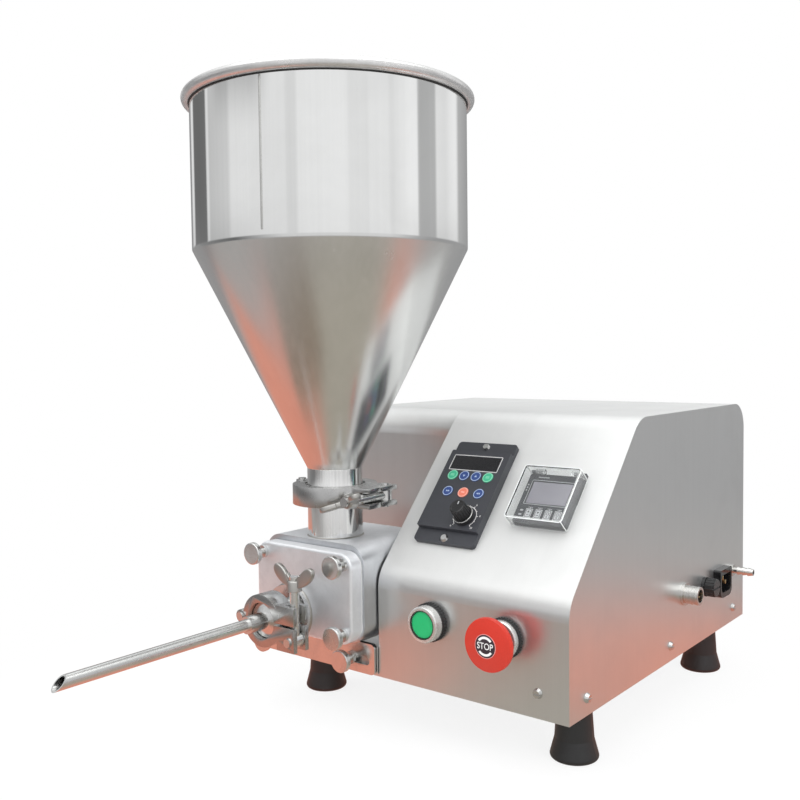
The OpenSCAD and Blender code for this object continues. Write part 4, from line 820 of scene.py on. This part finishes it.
def inlet_contacts():
    """Three flat contacts in the mains inlet."""
    shapes = []
    for x, y in ((-0.007, -0.001), (0.007, -0.001), (0, 0.004)):
        blade = rounded_plate(0.0022, 0.0042, 0.0110, 0.0003, 0.0006)
        shapes.append((blade, on_side(*INLET_PLACE) @ at(x, y, -0.0068)))
    set_piece("inlet_contacts", joined(*shapes), CONTACT_BRASS, "cabinet")


def socket_insert():
    """Black insert at the bottom of the round socket, its pins and key, and the rings round its shell."""
    place = on_side(*SOCKET_PLACE)
    insert = turned([(0, 0.0062), (0.0056, 0.0062), (0.0056, 0.0080), (0.0050, 0.0086), (0, 0.0086)], 48)
    key = rounded_plate(0.0018, 0.0012, 0.0040, 0.0003, 0.0003)
    set_piece("socket_insert", joined((insert, place), (key, place @ at(0, 0.0050, 0.0082))), BLACK_PLASTIC,
              "cabinet")
    pins = []
    for i in range(3):
        pin = turned([(0, 0), (0.0006, 0), (0.0006, 0.0042), (0.0004, 0.0047), (0, 0.0048)], 20)
        pins.append((pin, place @ Matrix.Rotation(i * 2 * pi / 3, 4, "Z") @ at(0, 0.0028, 0.0084)))
    set_piece("socket_pins", joined(*pins), CONTACT_BRASS, "cabinet")
    bore_r, shell_r, ring_r = 0.0061, 0.0080, 0.0082
    shell = turned([(bore_r, 0.0151), (0.0079, 0.0151), (shell_r, 0.0148), (shell_r, 0.0138),
                    (ring_r, 0.0136), (ring_r, 0.0122), (shell_r, 0.0120), (shell_r, 0.0090),
                    (ring_r, 0.0088), (ring_r, 0.0070), (shell_r, 0.0068), (0.0079, 0.0066),
                    (bore_r, 0.0066)], 64, closed=True)
    set_piece("socket_rings", joined((shell, place)), SOCKET_METAL, "cabinet")


inlet_contacts()
socket_insert()


# Camera and studio

def photo_camera():
    """Stands where the photo's camera stood."""
    data = bpy.data.cameras.new("photo_camera")
    data.sensor_width = 36.0
    data.lens = 42.29
    data.clip_start = 0.02
    camera = bpy.data.objects.new("photo_camera", data)
    turn = (Matrix.Rotation(radians(38.72), 4, "Z") @ Matrix.Rotation(radians(87.17), 4, "X")
            @ Matrix.Rotation(radians(-0.69), 4, "Z"))
    camera.matrix_world = Matrix.Translation((0.4909, -0.6466, 0.3158)) @ turn
    scene.collection.objects.link(camera)
    scene.camera = camera


def fill_ramp(node, stops):
    """Grey levels round the room, by compass angle in degrees."""
    ramp = node.color_ramp
    while len(ramp.elements) < len(stops):
        ramp.elements.new(0.5)
    for element, (degrees, level) in zip(ramp.elements, stops):
        element.position = (degrees + 180) / 360
        element.color = (level, level, level * 1.01, 1)


UPRIGHTS = (
    (-180, 0.17), (-166, 0.19), (-164, 0.92), (-161.5, 0.85), (-160, 0.64), (-136, 0.74), (-133, 0.93),
    (-83, 0.95), (-81, 0.86), (-74, 0.87), (-72, 1.0), (-34, 1.02), (-32, 0.95), (-17, 0.94), (-15, 0.99),
    (0, 0.97), (2, 0.88), (18, 1.05), (27, 1.06), (28.5, 0.52), (47, 0.56), (48.5, 0.93), (60, 0.88),
    (72, 1.0), (79, 1.0), (84, 0.52), (120, 0.32), (156, 0.30), (161, 0.88), (166, 0.80), (169, 0.17))
SKIRTING = (
    (-180, 0.30), (-130, 0.16), (-85, 0.82), (0, 0.82), (30, 0.48), (48, 0.40), (80, 0.40), (120, 0.34))
CEILING = (0.98, 1.0, 1.0, 1)
WHITE = (1, 1, 1, 1)


def mirrored_room(tree):
    """The room that metal sees: grey uprights, darker skirting, a white ceiling and one dim corner."""
    look = add_node(tree, "SeparateXYZ", {0: add_node(tree, "TexCoord").outputs["Generated"]})
    height = look.outputs["Z"]
    turn = add_node(tree, "Math", {0: look.outputs["Y"], 1: look.outputs["X"]}, operation="ARCTAN2")
    compass = add_node(tree, "MapRange", {0: turn.outputs[0], 1: -pi, 2: pi, 3: 0.0, 4: 1.0}).outputs[0]
    uprights = add_node(tree, "ValToRGB", {0: compass})
    fill_ramp(uprights, UPRIGHTS)
    skirting = add_node(tree, "ValToRGB", {0: compass})
    fill_ramp(skirting, SKIRTING)
    above_skirting = soft_step(tree, height, 0.0, 0.17)
    walls = mixed_colour(tree, above_skirting, skirting.outputs["Color"], uprights.outputs["Color"])
    room = mixed_colour(tree, soft_step(tree, height, 0.34, 0.70), walls, CEILING)
    corner_height = product(tree, soft_step(tree, height, 0.22, 0.32),
                            soft_step(tree, height, 0.46, 0.62, 1.0, 0.0))
    corner_turn = product(tree, soft_step(tree, compass, 0.055, 0.10),
                          soft_step(tree, compass, 0.19, 0.245, 1.0, 0.0))
    corner = product(tree, corner_height, corner_turn)
    dimmed = add_node(tree, "MapRange", {0: corner, 3: 1.0, 4: 0.42})
    return tinted(tree, room, dimmed.outputs[0])


def studio_world():
    """White behind the object, a pale room in the metal, and soft light for the rest."""
    world = bpy.data.worlds.new("studio_world")
    scene.world = world
    world.use_nodes = True
    tree = world.node_tree
    out = tree.nodes["World Output"]
    tree.nodes.remove(tree.nodes["Background"])
    path = add_node(tree, "LightPath")
    soft = add_node(tree, "Background", {"Color": WHITE, "Strength": 0.63})
    seen = add_node(tree, "Background", {"Color": WHITE, "Strength": 1.0})
    mirrored = add_node(tree, "Background", {"Color": mirrored_room(tree), "Strength": 1.0})
    straight = add_node(tree, "Math", {0: path.outputs["Is Camera Ray"],
                                       1: path.outputs["Is Transmission Ray"]}, operation="MAXIMUM")
    glossy = add_node(tree, "MixShader", {0: path.outputs["Is Glossy Ray"], 1: soft.outputs[0],
                                          2: mirrored.outputs[0]})
    mixed = add_node(tree, "MixShader", {0: straight.outputs[0], 1: glossy.outputs[0], 2: seen.outputs[0]})
    tree.links.new(mixed.outputs[0], out.inputs["Surface"])


# Colours of the painted reflection that the floor glows with for glossy rays only.
PAINTED_REFLECTION_BEIGE = (0.45, 0.415, 0.35, 1)
PAINTED_REFLECTION_WARM = (0.84, 0.345, 0.25, 1)
PAINTED_REFLECTION_BROWN = (0.29, 0.235, 0.18, 1)
PAINTED_REFLECTION_FAR = (0.46, 0.45, 0.44, 1)
FLOOR_PALE = (0.95, 0.95, 0.95)


def mirrored_floor(tree, place, reach):
    """Painted reflection: the glow that the floor gives to glossy rays only, warm at the left and the rear,
    brown before the desk, grey far away.
    """
    spread = add_node(tree, "SeparateXYZ", {0: place})
    x, y = spread.outputs["X"], spread.outputs["Y"]
    sides = add_node(tree, "Math", {0: soft_step(tree, x, 0.05, -0.12), 1: soft_step(tree, y, -0.05, 0.15)},
                     operation="MAXIMUM")
    close = mixed_colour(tree, sides.outputs[0], PAINTED_REFLECTION_BEIGE, PAINTED_REFLECTION_WARM)
    strip = product(tree, soft_step(tree, x, -0.30, -0.22), soft_step(tree, x, 0.06, 0.12, 1.0, 0.0))
    before_desk = product(tree, strip, soft_step(tree, y, -0.27, -0.335))
    close = mixed_colour(tree, before_desk, close, PAINTED_REFLECTION_BROWN)
    drawn_in = product(tree, soft_step(tree, x, -0.25, -0.50, 0.0, 0.55), soft_step(tree, y, -0.45, -0.28))
    kept = add_node(tree, "Math", {0: 1.0, 1: drawn_in}, operation="SUBTRACT")
    distance = product(tree, reach, kept.outputs[0])
    return mixed_colour(tree, soft_step(tree, distance, 0.36, 0.74), close, PAINTED_REFLECTION_FAR)


def floor_paper():
    """Pale paper that keeps the shadow near the object and fades into the white behind it; for glossy rays it
    glows instead with a painted reflection.
    """
    material = bpy.data.materials.new("pale_floor")
    material.use_nodes = True
    tree = material.node_tree
    out = tree.nodes["Material Output"]
    tree.nodes.remove(tree.nodes["Principled BSDF"])
    place = add_node(tree, "TexCoord").outputs["Object"]
    reach = add_node(tree, "VectorMath", {0: place}, operation="LENGTH").outputs["Value"]
    paper = use_group(tree, GRAIN, {"Vector": place, "Scale": 300.0, "Contrast": 0.03})
    matte = add_node(tree, "BsdfDiffuse", {"Color": tinted(tree, FLOOR_PALE, paper.outputs["Shade"])})
    white = add_node(tree, "Emission", {"Color": WHITE, "Strength": 1.0})
    path = add_node(tree, "LightPath")
    far = product(tree, soft_step(tree, reach, 0.20, 0.46, 0.84, 1.0), path.outputs["Is Camera Ray"])
    seen = add_node(tree, "MixShader", {0: far, 1: matte.outputs[0], 2: white.outputs[0]})
    # Painted reflection: the floor glows for glossy rays that have not come off a diffuse surface.
    mirrored = add_node(tree, "Emission", {"Color": mirrored_floor(tree, place, reach), "Strength": 1.0})
    first = add_node(tree, "Math", {0: path.outputs["Diffuse Depth"], 1: 0.5}, operation="LESS_THAN")
    sheen = product(tree, path.outputs["Is Glossy Ray"], first.outputs[0])
    mixed = add_node(tree, "MixShader", {0: sheen, 1: seen.outputs[0], 2: mirrored.outputs[0]})
    tree.links.new(mixed.outputs[0], out.inputs["Surface"])
    return material


def studio_floor():
    """A pale round floor, larger to the left and the rear, where the hopper mirrors it."""
    mesh = bpy.data.meshes.new("studio_floor")
    bm = bmesh.new()
    bmesh.ops.create_circle(bm, cap_ends=True, segments=96, radius=1.15)
    bmesh.ops.translate(bm, vec=(-0.35, 0.22, 0), verts=bm.verts)
    bm.to_mesh(mesh)
    bm.free()
    mesh.materials.append(floor_paper())
    floor = bpy.data.objects.new("studio_floor", mesh)
    scene.collection.objects.link(floor)


def soft_box(name, where, target, size, power, mirrored=False):
    """A soft lamp that looks from where to target; only a mirrored one shows in the metal."""
    data = bpy.data.lights.new(name, "AREA")
    data.shape = "RECTANGLE"
    data.size, data.size_y = size
    data.energy = power
    lamp = bpy.data.objects.new(name, data)
    aim = (Vector(target) - Vector(where)).to_track_quat("-Z", "Y")
    lamp.matrix_world = Matrix.Translation(where) @ aim.to_matrix().to_4x4()
    lamp.visible_glossy = mirrored
    scene.collection.objects.link(lamp)


photo_camera()
studio_world()
studio_floor()
soft_box("top_soft_box", (0.1, -0.3, 1.9), (0.05, 0, 0.2), (2.4, 2.4), 26, mirrored=True)
soft_box("left_soft_box", (-1.3, -1.0, 1.1), (0, 0, 0.25), (0.9, 1.2), 14)
soft_box("right_soft_box", (1.5, -0.5, 0.9), (0, 0, 0.2), (0.7, 1.0), 13)
